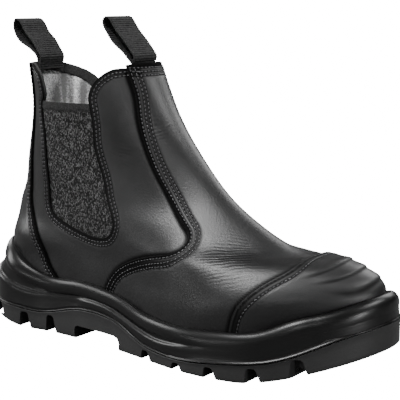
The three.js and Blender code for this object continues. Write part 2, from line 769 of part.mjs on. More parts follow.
const boot = new THREE.Group();
boot.add(
  namedMesh('upper', buildUpper(), leather),
  namedMesh('toe_cap', buildToeCap(), bumperLeather),
  namedMesh('heel_counter', buildHeelCounter(), leather),
  namedMesh('gore_lateral', buildGore(-cutterReach, 0), elastic),
  namedMesh('gore_medial', buildGore(0, cutterReach), elastic),
  namedMesh('pull_loop_back', buildPullLoop(backLoop, true), webbing),
  namedMesh('pull_loop_front', buildPullLoop(frontLoop, false), webbing),
  namedMesh('insole', buildInsole(), board),
  namedMesh('midsole', buildMidsole(), foam),
  namedMesh('outsole', buildOutsole(), rubber),
);

// All the shapes start at the back of the sole, so the boot is moved to its origin here.
boot.position.x = -heelTreadShare * soleLength;

export default boot;
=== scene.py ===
# %% [markdown]
# # A side gore work boot, dressed panel by panel
#
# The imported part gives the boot's solids: a lasted upper, a bumper cap, elastic gores, webbing
# loops and a lugged sole. This notebook remakes their visible skins with the leather edges,
# stitch rows, creases, ribs and lugs of a real boot. It works in millimetres from the back of
# the sole, and turns them into metres in the part's frame when a mesh is made.

# %% Load the part
import math

import bpy
import numpy as np
from mathutils import Matrix, Vector
from mathutils.kdtree import KDTree


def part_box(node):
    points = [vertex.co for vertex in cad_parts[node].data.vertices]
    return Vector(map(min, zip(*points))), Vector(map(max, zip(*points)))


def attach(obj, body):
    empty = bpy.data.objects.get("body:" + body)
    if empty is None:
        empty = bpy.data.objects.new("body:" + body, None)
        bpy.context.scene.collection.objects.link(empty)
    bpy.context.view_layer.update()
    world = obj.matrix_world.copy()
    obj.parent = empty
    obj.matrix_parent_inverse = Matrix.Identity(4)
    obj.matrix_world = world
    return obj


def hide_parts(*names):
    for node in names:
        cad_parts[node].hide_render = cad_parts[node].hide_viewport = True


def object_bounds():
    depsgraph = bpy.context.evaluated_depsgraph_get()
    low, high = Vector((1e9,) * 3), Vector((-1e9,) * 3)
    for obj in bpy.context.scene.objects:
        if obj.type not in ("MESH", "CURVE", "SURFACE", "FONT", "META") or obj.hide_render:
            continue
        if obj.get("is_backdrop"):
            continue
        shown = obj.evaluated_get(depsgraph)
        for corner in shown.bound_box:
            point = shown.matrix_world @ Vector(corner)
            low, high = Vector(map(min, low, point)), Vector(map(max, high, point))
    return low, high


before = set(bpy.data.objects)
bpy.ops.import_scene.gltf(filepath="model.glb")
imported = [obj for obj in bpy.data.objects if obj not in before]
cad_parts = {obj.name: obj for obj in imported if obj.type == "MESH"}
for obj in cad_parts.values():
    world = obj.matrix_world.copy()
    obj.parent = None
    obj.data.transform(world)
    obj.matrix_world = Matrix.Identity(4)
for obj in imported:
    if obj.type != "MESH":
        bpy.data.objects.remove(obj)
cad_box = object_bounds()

MM = 0.001
sole_length = 302.0
heel_tread_share = 0.17
sole_back = -heel_tread_share * sole_length * MM
collar_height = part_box("upper")[1].z / MM
print("sole", round(sole_length), "mm long, collar", round(collar_height), "mm high")

# %% [markdown]
# ## The camera
#
# The photograph looks at the boot's outer side from a little in front and a little above. A
# camera that is set by a view direction and a place keeps those numbers readable. The lens is
# a long one, because the far and near ends of the sole show almost the same scale.

# %% The photograph's camera
view_azimuth = math.radians(35.8)
view_elevation = math.radians(9.93)
view_roll = math.radians(-0.17)
camera_place = Vector((547.9, -602.8, 229.8)) * MM
sensor_width = 36.0
lens_length = 101.2


def look_matrix(azimuth, elevation, roll, place):
    """A camera's matrix from the direction it looks along."""
    right = Vector((math.cos(azimuth), math.sin(azimuth), 0))
    back = Vector((math.sin(azimuth) * math.cos(elevation),
                   -math.cos(azimuth) * math.cos(elevation),
                   math.sin(elevation)))
    up = back.cross(right)
    turned_right = math.cos(roll) * right + math.sin(roll) * up
    turned_up = math.cos(roll) * up - math.sin(roll) * right
    columns = (turned_right, turned_up, back)
    matrix = Matrix([[column[i] for column in columns] for i in range(3)]).to_4x4()
    matrix.translation = place
    return matrix


camera_data = bpy.data.cameras.new("photo_camera")
camera_data.sensor_width = sensor_width
camera_data.lens = lens_length
camera = bpy.data.objects.new("photo_camera", camera_data)
camera.matrix_world = look_matrix(view_azimuth, view_elevation, view_roll, camera_place)
bpy.context.scene.collection.objects.link(camera)
bpy.context.scene.camera = camera
print("camera at", [round(value, 3) for value in camera.location])

# %% [markdown]
# ## Driving sizes
#
# These are the sizes a pattern cutter would write down. Everything below is worked out from
# them, as shares of the sole length, of the ball width or of a storey: from the foot bed (0) to
# the instep (1) and on to the collar (2).

# %% Sizes of the boot in millimetres
ball_width = 101.0
instep_height = 107.0
heel_seat = 27.0
forefoot_seat = 14.0
toe_seat = 22.0
rim_height = 40.0
sole_margin = 6.0
toe_spring = 18.0
leather = 1.3
vamp_base = 0.05
counter_top = 1.6
cap_base = 1.45
cap_top = 3.4
lining_depth = 2.4
gore_depth = 1.35
swing_from = 0.56
swing_fade_over = 0.75

# %% [markdown]
# ## Smooth lines through a few listed values
#
# A shoe last has no simple formula, but its sections change slowly. A natural cubic spline
# through a handful of sections gives that flow. Writing the spline as weights, one for each
# knot, lets one call blend any number of columns at once.


# %% Natural cubic spline as weights
def spline_weights(knots, places):
    """How much each knot counts at each place; straight beyond the ends."""
    knots = np.asarray(knots, float)
    places = np.asarray(places, float)
    count = len(knots)
    gaps = np.diff(knots)
    left = np.eye(count)
    right = np.zeros((count, count))
    for i in range(1, count - 1):
        left[i, i - 1:i + 2] = gaps[i - 1], 2 * (gaps[i - 1] + gaps[i]), gaps[i]
        right[i, i - 1] = 6 / gaps[i - 1]
        right[i, i] = -6 / gaps[i - 1] - 6 / gaps[i]
        right[i, i + 1] = 6 / gaps[i]
    bends = np.linalg.solve(left, right)
    kept = np.clip(places, knots[0], knots[-1])
    span = np.clip(np.searchsorted(knots, kept, side="right") - 1, 0, count - 2)
    width = gaps[span]
    a = (knots[span + 1] - kept) / width
    b = 1 - a
    rows = np.arange(len(places))
    weights = np.zeros((len(places), count))
    weights[rows, span] += a
    weights[rows, span + 1] += b
    curve_a = ((a ** 3 - a) * width ** 2 / 6)[:, None]
    curve_b = ((b ** 3 - b) * width ** 2 / 6)[:, None]
    weights += curve_a * bends[span] + curve_b * bends[span + 1]
    slope = np.zeros_like(weights)
    slope[rows, span] -= 1 / width
    slope[rows, span + 1] += 1 / width
    slope -= ((3 * a ** 2 - 1) * width / 6)[:, None] * bends[span]
    slope += ((3 * b ** 2 - 1) * width / 6)[:, None] * bends[span + 1]
    return weights + (places - kept)[:, None] * slope


print("weights halfway between two knots:", spline_weights((0, 1, 2), [0.5]).round(3).tolist())


# %% Smooth lines and blends
def smooth_line(points, step=1.0):
    """A smooth line through points, with a new point about every step."""
    points = np.asarray(points, float)
    reach = np.concatenate([[0], np.cumsum(np.linalg.norm(np.diff(points, axis=0), axis=1))])
    places = np.linspace(0, reach[-1], max(8, int(reach[-1] / step)))
    return spline_weights(reach, places) @ points


def smoother(t):
    t = np.clip(t, 0, 1)
    return t ** 3 * (t * (6 * t - 15) + 10)


# %% [markdown]
# ## The last
#
# Each row below is one ring of the last, from the feather line above the sole up to the
# collar. The rings climb from the heel to the instep, so the first three columns give their
# height at the heel, the side and the toe.

# %% Rings of the last
RING_COLUMNS = ("heel", "side", "toe", "back", "front",
                "w10", "w30", "w50", "w70", "w90", "heel_round", "toe_round")
RINGS = {
    "feather": (0, 0, 0, .026, .934, .325, .337, .376, .467, .4, .16, .31),
    "rim": (.163, .237, .188, .017, .951, .34, .351, .396, .487, .42, .16, .32),
    "toe wall": (.338, .366, .365, .014, .965, .345, .356, .391, .477, .414, .16, .34),
    "toe dome": (.487, .473, .492, .024, .924, .375, .356, .381, .442, .385, .17, .38),
    "cap top": (.637, .57, .546, .028, .875, .332, .356, .376, .409, .35, .18, .44),
    "vamp": (.787, .667, .587, .032, .794, .302, .356, .371, .374, .304, .2, .52),
    "forepart": (.95, .796, .762, .049, .698, .292, .356, .371, .349, .29, .22, .57),
    "instep": (1.133, .946, .988, .054, .61, .288, .361, .371, .339, .29, .28, .63),
    "throat": (1.373, 1.253, 1.302, .065, .527, .292, .366, .376, .349, .304, .38, .62),
    "shaft": (1.663, 1.639, 1.631, .078, .463, .312, .376, .386, .364, .315, .48, .6),
    "collar": (1.976, 1.964, 2, .074, .415, .332, .386, .396, .37, .335, .52, .56),
}
WIDTH_STATIONS = (.1, .3, .5, .7, .9)
SWING = ((0, 0), (.199, 0), (.364, -.02), (.497, -.04),
         (.629, -.04), (.745, 0), (.861, .06), (.967, .13))
heel_fall_share = 0.7
toe_lift_share = 0.6
level_to = 0.09


def storey_height(storey, bed):
    low = bed + (instep_height - bed) * storey
    high = instep_height + (collar_height - instep_height) * (storey - 1)
    return np.where(storey < 1, low, high)


def lengthwise(share, heel, side, toe):
    """From the heel's value to the side's, lifting to the toe's at the front."""
    lift = np.clip(1 - (1 - share) / toe_lift_share, 0, 1) ** 3
    return heel + (side - heel) * smoother(share / heel_fall_share) + (toe - side) * lift


def round_end(t):
    return np.sqrt(np.maximum(0, 1 - (1 - np.clip(t, 0, 1)) ** 2.5))


def swing_at(x):
    table = np.array(SWING)
    return spline_weights(table[:, 0] * sole_length, x) @ table[:, 1] * ball_width


ring_table = np.array(list(RINGS.values()), float)
for column, seat in enumerate((heel_seat, forefoot_seat, toe_seat)):
    ring_table[:, column] = storey_height(ring_table[:, column], seat)
ring_table[:, 3:5] *= sole_length
ring_table[:, 5:10] *= ball_width
ring_knots = np.linspace(0, 1, len(RINGS))
print(len(RINGS), "rings of", len(RING_COLUMNS), "columns")


# %% Points and normals of the last
def last_points(v, u):
    """The last at level v (0 foot bed, 1 collar) and angle u (0 toe, half a turn heel)."""
    rows = spline_weights(ring_knots, v) @ ring_table
    heel, side, toe, back, front = rows[:, :5].T
    share = (1 + np.cos(u)) / 2
    half = (spline_weights(WIDTH_STATIONS, share) * rows[:, 5:10]).sum(1)
    half = half * round_end(share / rows[:, 10]) * round_end((1 - share) / rows[:, 11])
    x = back + (front - back) * share
    z = lengthwise(share, heel, side, toe)
    fade = 1 - smoother((z / instep_height - swing_from) / swing_fade_over)
    return np.stack([x, swing_at(x) * fade - np.sign(np.sin(u)) * half, z], axis=1)


def last_normals(v, u):
    step = 1e-4
    up = last_points(v + step, u) - last_points(v - step, u)
    along = last_points(v, u + step) - last_points(v, u - step)
    normals = np.cross(up, along)
    normals[:, 2] *= smoother(v / level_to)
    return normals / np.linalg.norm(normals, axis=1)[:, None]


def skin(v, u, out):
    """Points moved off the last by a distance each."""
    return last_points(v, u) + last_normals(v, u) * np.broadcast_to(out, v.shape)[:, None]


# %% [markdown]
# ## Sheets that are trimmed like leather
#
# A panel starts as a grid over the whole last and is cut along its pattern line. Cutting
# straight through the triangles leaves a clean edge wherever the line runs, which a boolean on
# such thin walls would not do safely. Points that lie almost on the line are moved onto it
# first, so that no splinters are left.

# %% Even grid over the last
columns_round = 430
levels_up = 166


def even_places(start, end, count, measure):
    """Places between two values, spaced by the distance that measure gives between them."""
    trial = np.linspace(start, end, 400)
    reach = np.concatenate([[0], np.cumsum(measure(trial))])
    return np.interp(np.linspace(0, reach[-1], count), reach, trial)


def column_steps(angles):
    ring = last_points(np.full(len(angles), 0.45), angles)
    return np.linalg.norm(np.diff(ring, axis=0), axis=1)


def level_steps(levels):
    steps = 0
    for angle in np.linspace(0.2, math.pi, 12):
        line = last_points(levels, np.full(len(levels), angle))
        steps = steps + np.linalg.norm(np.diff(line, axis=0), axis=1)
    return steps


class Sheet:
    """Triangles over the last: a level v and an angle u for each point."""

    def __init__(self, v, u, triangles):
        self.v, self.u, self.triangles = v, u, triangles

    def points(self):
        return last_points(self.v, self.u)


def grid_sheet(levels, angles, closed):
    """A grid of triangles; a closed one joins its last column to its first."""
    rows, columns = len(levels), len(angles)
    v, u = (grid.ravel() for grid in np.meshgrid(levels, angles, indexing="ij"))
    across = columns if closed else columns - 1
    row, column = (g.ravel() for g in np.meshgrid(range(rows - 1), range(across), indexing="ij"))
    low = row * columns + column
    low_next = row * columns + (column + 1) % columns
    first = np.stack([low, low_next + columns, low_next], axis=1)
    second = np.stack([low, low + columns, low_next + columns], axis=1)
    return Sheet(v, u, np.concatenate([first, second]))


ring_angles = even_places(0, 2 * math.pi, columns_round + 1, column_steps)[:-1]
ring_levels = even_places(0, 1, levels_up, level_steps)
whole = grid_sheet(ring_levels, ring_angles, closed=True)
print(len(whole.triangles), "triangles over the whole last")


# %% Trim a sheet along a line
def edge_pairs(triangles):
    pairs = np.concatenate([triangles[:, [0, 1]], triangles[:, [1, 2]], triangles[:, [2, 0]]])
    return np.unique(np.sort(pairs, axis=1), axis=0)


def between(u_from, u_to, t):
    """An angle part of the way to another, the short way round."""
    turn = (u_to - u_from + math.pi) % (2 * math.pi) - math.pi
    return u_from + turn * t


def snap(sheet, values, near=0.2):
    """Moves points that almost lie on the line, value 0, onto it."""
    pairs = edge_pairs(sheet.triangles)
    pairs = pairs[(values[pairs[:, 0]] >= 0) != (values[pairs[:, 1]] >= 0)]
    both = np.concatenate([pairs, pairs[:, ::-1]])
    t = values[both[:, 0]] / (values[both[:, 0]] - values[both[:, 1]])
    order = np.argsort(-t)
    order = order[t[order] < near]
    moved, other, t = both[order, 0], both[order, 1], t[order]
    v, u, values = sheet.v.copy(), sheet.u.copy(), values.copy()
    v[moved] = sheet.v[moved] + (sheet.v[other] - sheet.v[moved]) * t
    u[moved] = between(sheet.u[moved], sheet.u[other], t)
    values[moved] = 0
    return Sheet(v, u, sheet.triangles), values


def trim(sheet, values):
    """Keeps the part of a sheet where the values are not negative."""
    sheet, values = snap(sheet, values)
    v, u, triangles = sheet.v, sheet.u, sheet.triangles
    kept = values >= 0
    count = kept[triangles].sum(axis=1)
    rows = [triangles[count == 3]]
    starts, ends = [], []
    new_count = 0
    for inside_corners, find in ((1, np.argmax), (2, np.argmin)):
        cut = triangles[count == inside_corners]
        odd = find(kept[cut], axis=1)
        a, b, c = (cut[np.arange(len(cut)), (odd + k) % 3] for k in range(3))
        ab = len(v) + new_count + np.arange(len(cut))
        ac = ab + len(cut)
        starts += [a, a]
        ends += [b, c]
        new_count += 2 * len(cut)
        if inside_corners == 1:
            rows.append(np.stack([a, ab, ac], axis=1))
        else:
            rows += [np.stack([ab, b, c], axis=1), np.stack([ab, c, ac], axis=1)]
    a, b = np.concatenate(starts), np.concatenate(ends)
    swap = a > b
    a, b = np.where(swap, b, a), np.where(swap, a, b)
    t = values[a] / (values[a] - values[b])
    v = np.concatenate([v, v[a] + (v[b] - v[a]) * t])
    u = np.concatenate([u, between(u[a], u[b], t)]) % (2 * math.pi)
    return merged(v, u, np.concatenate(rows))


def merged(v, u, triangles):
    """Joins points at the same place, and drops what has no area or is not used."""
    keys = np.round(np.stack([v, np.cos(u), np.sin(u)], axis=1) * 1e6).astype(np.int64)
    first, same = np.unique(keys, axis=0, return_index=True, return_inverse=True)[1:]
    triangles = same.ravel()[triangles]
    flat = ((triangles[:, 0] == triangles[:, 1]) | (triangles[:, 1] == triangles[:, 2])
            | (triangles[:, 2] == triangles[:, 0]))
    triangles = triangles[~flat]
    used, packed = np.unique(triangles, return_inverse=True)
    return Sheet(v[first][used], u[first][used], packed.reshape(-1, 3))


# %% Borders of a sheet
def borders(triangles):
    """Closed chains of points round a sheet, with the sheet on their left."""
    sides = np.concatenate([triangles[:, [0, 1]], triangles[:, [1, 2]], triangles[:, [2, 0]]])
    known = set(map(tuple, sides.tolist()))
    after = {a: b for a, b in known if (b, a) not in known}
    chains = []
    while after:
        start, point = after.popitem()
        chain = [start]
        while point != start and point in after:
            chain.append(point)
            point = after.pop(point)
        if len(chain) > 8:
            chains.append(np.array(chain))
    return chains


print([len(chain) for chain in borders(whole.triangles)], "points on the last's two borders")


# %% [markdown]
# ## Pattern lines
#
# The panels' edges are drawn in side view, as shares of the sole length and storeys. A point's
# distance to such a line decides on which side of the cut it lies. Stitch rows follow the same
# line at a distance that is measured on the leather itself, so they stay even where the panel
# turns over the toe or round the shin.

# %% Edges of the panels in side view
VAMP_EDGE = (
    (.38, 2.1), (.389, 1.971), (.413, 1.749), (.428, 1.551), (.449, 1.351), (.478, 1.155),
    (.516, .976), (.547, .864), (.576, .78), (.59, .735), (.594, .681),
    (.582, .631), (.547, .596), (.487, .543), (.436, .464), (.408, .395),
    (.388, .309), (.375, .226), (.366, .1), (.362, -.25),
)
TOE_CAP_EDGE = (
    (.722, -.25), (.726, 0), (.73, .137), (.739, .263), (.749, .336), (.764, .395),
    (.783, .451), (.809, .512), (.828, .566), (.834, .62), (.834, .9),
)
COUNTER_EDGE = (
    (.128, 2.2), (.126, 1.976), (.121, 1.759), (.119, 1.572), (.115, 1.373),
    (.115, 1.101), (.119, .883), (.122, .805), (.149, .598), (.176, .424),
    (.199, .24), (.214, .178), (.228, 0), (.24, -.25),
)
COLLAR_FRONT = (
    (.389, 1.971), (.367, 1.957), (.345, 1.901), (.333, 1.849), (.328, 1.81), (.323, 1.727),
)
GORE_OUTLINE = (
    (.325, 1.676), (.334, 1.492), (.338, 1.337), (.351, 1.184), (.366, 1.033),
    (.375, .927), (.388, .841), (.399, .747), (.389, .656), (.358, .614),
    (.301, .627), (.244, .677), (.201, .767), (.195, .921), (.195, 1.016),
    (.192, 1.192), (.185, 1.457), (.182, 1.676),
)
BACK_TAB_OUTER = ((.19, 1.72), (.187, 1.82), (.176, 1.91), (.15, 1.965), (.11, 2.05))
BACK_TAB_INNER = (
    (.181, 1.72), (.172, 1.771), (.156, 1.843), (.146, 1.873), (.127, 1.916),
    (.109, 1.946), (.083, 1.985),
)
gore_top_storey = 1.676
OUTER_SIDE, INNER_SIDE = -1, 1
print(len(VAMP_EDGE), len(TOE_CAP_EDGE), len(COUNTER_EDGE), len(GORE_OUTLINE), "edge points")


# %% From the tables to millimetres
def bed_height(share):
    return lengthwise(share, heel_seat, forefoot_seat, toe_seat)


def side_places(rows):
    """Shares of the sole length and storeys, as x and z in millimetres."""
    share, storey = np.array(rows, float).T
    return np.stack([share * sole_length, storey_height(storey, bed_height(share))], axis=1)


def inside_outline(points, outline):
    """Which points of the side view lie inside a closed outline."""
    x, z = points.T
    odd = np.zeros(len(points), bool)
    for (x0, z0), (x1, z1) in zip(outline, np.roll(outline, -1, axis=0)):
        if z0 == z1:
            continue
        crosses = (z0 > z) != (z1 > z)
        odd ^= crosses & (x < x0 + (z - z0) * (x1 - x0) / (z1 - z0))
    return odd


# %% Distances to a line
def tree_of(points):
    tree = KDTree(len(points))
    for i, point in enumerate(points):
        tree.insert(point, i)
    tree.balance()
    return tree


def distances(points, line, step=0.4):
    """Distance of points to a line of any dimensions up to three."""
    dense = [line[:1]]
    for a, b in zip(line[:-1], line[1:]):
        parts = max(1, int(np.linalg.norm(b - a) / step))
        dense.append(a + (b - a) * (np.arange(1, parts + 1) / parts)[:, None])
    dense = np.concatenate(dense)
    flat = [np.pad(p, ((0, 0), (0, 3 - p.shape[1]))) for p in (dense, points)]
    tree = tree_of(flat[0])
    return np.array([tree.find(point)[2] for point in flat[1]])


# %% Signed distances to the pattern lines
FAR = 400.0


def closed_off(line, front, low, high):
    """A side view region from an edge line that runs down, closed far off in front or behind."""
    x = FAR if front else -FAR
    return np.concatenate([line, [[line[-1, 0], low], [x, low], [x, high], [line[0, 0], high]]])


def signed(points, line, region):
    """Distance to a line, positive inside the region."""
    return np.where(inside_outline(points, region), 1, -1) * distances(points, line)


vamp_line = smooth_line(side_places(VAMP_EDGE))
cap_line = smooth_line(side_places(TOE_CAP_EDGE)[::-1])
counter_line = smooth_line(side_places(COUNTER_EDGE))


def notch_line(side):
    tab = BACK_TAB_OUTER if side == OUTER_SIDE else BACK_TAB_INNER
    return smooth_line(side_places(COLLAR_FRONT + GORE_OUTLINE + tab))


notch_lines = {side: notch_line(side) for side in (OUTER_SIDE, INNER_SIDE)}
print(len(vamp_line), len(cap_line), len(counter_line), "points on the smoothed edges")


def side_view(sheet):
    return sheet.points()[:, [0, 2]]


def over_edge(sheet, line, front):
    return signed(side_view(sheet), line, closed_off(line, front, -FAR, FAR))


def over_notch(sheet):
    """Distance from the edge of the collar's dip and gore window, positive in the leather."""
    points = sheet.points()
    result = np.zeros(len(points))
    for side in (OUTER_SIDE, INNER_SIDE):
        line = notch_lines[side]
        region = np.concatenate([line, [[line[-1, 0], FAR], [line[0, 0], FAR]]])
        here = np.sign(points[:, 1] + 1e-9) == side
        result[here] = -signed(points[here][:, [0, 2]], line, region)
    return result


# %% [markdown]
# ## Shells with a real edge
#
# Each leather piece becomes a closed shell: an outer skin, an inner skin, and between them a
# border that is rounded like a skived and folded edge. The same routine makes the vamp, the
# quarters, the cap, the gores and the lining, with other distances from the last.

# %% Build a mesh object
def to_frame(points):
    """Millimetres from the back of the sole as metres in the part's frame."""
    return np.asarray(points) * MM + np.array([sole_back, 0, 0])


def make_object(name, points, faces, dull_and_shade=None):
    """A smooth-shaded object from points in millimetres, arrays of faces, and how matte and
    darkened by painted shade each point is.
    """
    mesh = bpy.data.meshes.new(name)
    corners = np.concatenate([face.ravel() for face in faces]).astype(np.int32)
    sizes = np.concatenate([np.full(len(face), face.shape[1]) for face in faces])
    starts = np.concatenate([[0], np.cumsum(sizes)[:-1]])
    mesh.vertices.add(len(points))
    mesh.vertices.foreach_set("co", to_frame(points).astype(np.float32).ravel())
    mesh.loops.add(len(corners))
    mesh.loops.foreach_set("vertex_index", corners)
    mesh.polygons.add(len(sizes))
    mesh.polygons.foreach_set("loop_start", starts.astype(np.int32))
    if dull_and_shade is not None:
        layer = mesh.attributes.new("dull_and_shade", "FLOAT", "POINT")
        layer.data.foreach_set("value", np.asarray(dull_and_shade, np.float32))
    mesh.update(calc_edges=True)
    mesh.validate()
    mesh.polygons.foreach_set("use_smooth", np.ones(len(mesh.polygons), bool))
    made = bpy.data.objects.new(name, mesh)
    bpy.context.scene.collection.objects.link(made)
    return made


def finish_piece(piece, material, nodes=(), sharp=None):
    """Material, sharp edges, the parent empty and the hidden part nodes for one finished piece."""
    piece.data.materials.clear()
    piece.data.materials.append(material)
    if sharp is not None:
        piece.data.set_sharp_from_angle(angle=math.radians(sharp))
    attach(piece, "root")
    if nodes:
        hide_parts(*nodes)
    print(piece.name, "has", sum(len(p.vertices) - 2 for p in piece.data.polygons), "triangles")
    return piece


# %% Shell of a sheet
edge_steps = 4
# Shell borders are dyed matte and also carry painted shade: they are darkened as if they lay in
# shadow.
border_dull_and_shade = 0.9


def outward_of(chain, points, normals):
    """Directions that point off a sheet at its border, level with the sheet."""
    tangent = points[np.roll(chain, -2)] - points[np.roll(chain, 2)]
    outward = np.cross(tangent, normals[chain])
    for _ in range(3):
        outward = outward + np.roll(outward, 1, axis=0) + np.roll(outward, -1, axis=0)
        outward = outward / (np.linalg.norm(outward, axis=1)[:, None] + 1e-12)
    return outward


def shell(name, sheet, top, bottom, edge_radius, dull_and_shade=0.0):
    """A closed shell between two distances off the last, with rounded borders that are matte and
    darkened by painted shade.
    """
    count = len(sheet.v)
    top = np.broadcast_to(top, (count,))
    bottom = np.broadcast_to(bottom, (count,))
    base = last_points(sheet.v, sheet.u)
    normals = last_normals(sheet.v, sheet.u)
    outer = base + normals * top[:, None]
    inner = base + normals * bottom[:, None]
    points = [outer, inner]
    faces = [sheet.triangles, sheet.triangles[:, ::-1] + count]
    made = 2 * count
    dull_and_shade_rows = [np.broadcast_to(dull_and_shade, (count,)), np.zeros(count)]
    for chain in borders(sheet.triangles):
        outward = outward_of(chain, outer, normals)
        radius = np.minimum(edge_radius, (top - bottom)[chain] / 2)[:, None]
        previous = chain
        for step in range(1, 2 * edge_steps):
            if step == edge_steps:
                continue
            turn = math.pi * step / (2 * edge_steps)
            middle = np.where(turn < math.pi / 2, top[chain], bottom[chain])[:, None]
            lift = radius * (math.cos(turn) - math.copysign(1, math.cos(turn)))
            row = (base[chain] + normals[chain] * (middle + lift)
                   + outward * radius * math.sin(turn))
            points.append(row)
            dull_and_shade_rows.append(np.full(len(chain), border_dull_and_shade))
            current = made + np.arange(len(chain))
            faces.append(band(previous, current))
            previous = current
            made += len(chain)
        faces.append(band(previous, chain + count))
    return make_object(name, np.concatenate(points), faces, np.concatenate(dull_and_shade_rows))


def band(first, second):
    """Squares between two closed chains of the same length."""
    return np.stack([np.roll(first, -1), first, second, np.roll(second, -1)], axis=1)


# %% [markdown]
# ## Seams
#
# A seam is a line at an even distance from a panel's edge. It is found as the border of the
# panel trimmed at that distance. The thread pulls the leather down along it, so the same
# distance also shapes the panel's surface, and the leather between two rows swells a little.
# Where the trimmed border runs along the panel's own border there is no seam, so that part is
# left out.

# %% Rows of a seam
thread_width = 0.85
seam_depth = 0.42
seam_halfwidth = 0.95
# Painted shade: the leather is darkened and made matte right at a panel's edge and in the hollows
# of its stitch rows.
row_dull_and_shade = 0.95
edge_full_shade = 0.7
edge_shadow = 1.1
clear_of_border = 0.6
fewest_points = 12


def edge_curve(sheet, keep):
    """The 3-D border of a sheet where keep(points) is true, as one cloud of points."""
    points = sheet.points()
    cloud = np.concatenate([points[chain] for chain in borders(sheet.triangles)])
    return cloud[keep(cloud)]


def cloud_distance(points, cloud):
    tree = tree_of(cloud)
    return np.array([tree.find(point)[2] for point in points])


def border_cloud(sheet):
    return edge_curve(sheet, lambda points: np.ones(len(points), bool))


def seam_rows(sheet, distance, rows, out, keep):
    """Open lines along a sheet at the given distances from its edge: points and normals."""
    lines = []
    border = border_cloud(sheet)
    for row in rows:
        cut = trim(sheet, distance - row)
        points = cut.points()
        for chain in borders(cut.triangles):
            clear = cloud_distance(points[chain], border) > clear_of_border * row
            for part in runs(chain, clear & keep(points[chain])):
                if len(part) > fewest_points:
                    v, u = cut.v[part], cut.u[part]
                    lines.append((skin(v, u, out), last_normals(v, u)))
    return lines


def runs(chain, flags):
    """Stretches of a closed chain where the flags are true."""
    if flags.all():
        return [chain]
    start = int(np.argmin(flags))
    chain, flags = np.roll(chain, -start), np.roll(flags, -start)
    edges = np.flatnonzero(np.diff(flags.astype(int)))
    starts = edges[::2] + 1
    ends = list(edges[1::2] + 1) + ([len(chain)] if len(edges) % 2 else [])
    return [chain[a:b] for a, b in zip(starts, ends)]


def pulled_down(distance, rows):
    """How much a seam's rows lower the leather at each distance from the edge."""
    dips = sum(np.exp(-((distance - row) / seam_halfwidth) ** 2) for row in rows)
    return -seam_depth * np.minimum(dips, 1.2)


def seam_dull_and_shade(distance, rows):
    """Painted shade with a matte finish: full right at the edge, fading off it, and in the hollows
    of the stitch rows.
    """
    close = np.exp(-(np.maximum(distance - edge_full_shade, 0) / edge_shadow) ** 2)
    in_rows = sum(np.exp(-((distance - row) / seam_halfwidth) ** 2) for row in rows)
    return np.clip(close + row_dull_and_shade * in_rows, 0, 1)


# %% [markdown]
# ## Stitches
#
# Thousands of the same small thing along a line are a job for Geometry Nodes: the tree sets a
# point every few millimetres on the seam, puts a short bead of thread there, and turns it
# along the seam and flat to the leather. The bead has few faces, because there are so many.

# %% An empty tree of Geometry Nodes
def new_tree(name, inputs):
    """A geometry node group with a geometry in and out and more inputs, and its two ends."""
    tree = bpy.data.node_groups.new(name, "GeometryNodeTree")
    tree.interface.new_socket("Geometry", in_out="INPUT", socket_type="NodeSocketGeometry")
    for label, kind in inputs:
        tree.interface.new_socket(label, in_out="INPUT", socket_type=kind)
    tree.interface.new_socket("Geometry", in_out="OUTPUT", socket_type="NodeSocketGeometry")
    return tree, tree.nodes.new("NodeGroupInput"), tree.nodes.new("NodeGroupOutput")


# %% Turn an instance along its curve
def aligned_rotation(tree):
    """Nodes that turn an instance along the curve, with its top to the lean attribute."""
    tangent = tree.nodes.new("GeometryNodeInputTangent")
    lean = tree.nodes.new("GeometryNodeInputNamedAttribute")
    lean.data_type = "FLOAT_VECTOR"
    lean.inputs["Name"].default_value = "lean"
    along = tree.nodes.new("FunctionNodeAlignRotationToVector")
    along.axis = "X"
    upright = tree.nodes.new("FunctionNodeAlignRotationToVector")
    upright.axis = "Z"
    upright.pivot_axis = "X"
    tree.links.new(tangent.outputs["Tangent"], along.inputs["Vector"])
    tree.links.new(along.outputs["Rotation"], upright.inputs["Rotation"])
    tree.links.new(lean.outputs["Attribute"], upright.inputs["Vector"])
    return upright.outputs["Rotation"]


# %% Beads of thread on a curve
def stitch_tree():
    tree, start, end = new_tree("stitches along a seam", (
        ("Pitch", "NodeSocketFloat"), ("Size", "NodeSocketVector"),
        ("Material", "NodeSocketMaterial")))
    links = tree.links
    curve = tree.nodes.new("GeometryNodeMeshToCurve")
    spaced = tree.nodes.new("GeometryNodeResampleCurve")
    spaced.mode = "LENGTH"
    bead = tree.nodes.new("GeometryNodeMeshUVSphere")
    bead.inputs["Segments"].default_value = 8
    bead.inputs["Rings"].default_value = 5
    bead.inputs["Radius"].default_value = 0.5
    placed = tree.nodes.new("GeometryNodeInstanceOnPoints")
    real = tree.nodes.new("GeometryNodeRealizeInstances")
    coloured = tree.nodes.new("GeometryNodeSetMaterial")
    links.new(start.outputs["Geometry"], curve.inputs["Mesh"])
    links.new(curve.outputs["Curve"], spaced.inputs["Curve"])
    links.new(start.outputs["Pitch"], spaced.inputs["Length"])
    links.new(spaced.outputs["Curve"], placed.inputs["Points"])
    links.new(bead.outputs["Mesh"], placed.inputs["Instance"])
    links.new(aligned_rotation(tree), placed.inputs["Rotation"])
    links.new(start.outputs["Size"], placed.inputs["Scale"])
    links.new(placed.outputs["Instances"], real.inputs["Geometry"])
    links.new(real.outputs["Geometry"], coloured.inputs["Geometry"])
    links.new(start.outputs["Material"], coloured.inputs["Material"])
    links.new(coloured.outputs["Geometry"], end.inputs["Geometry"])
    return tree


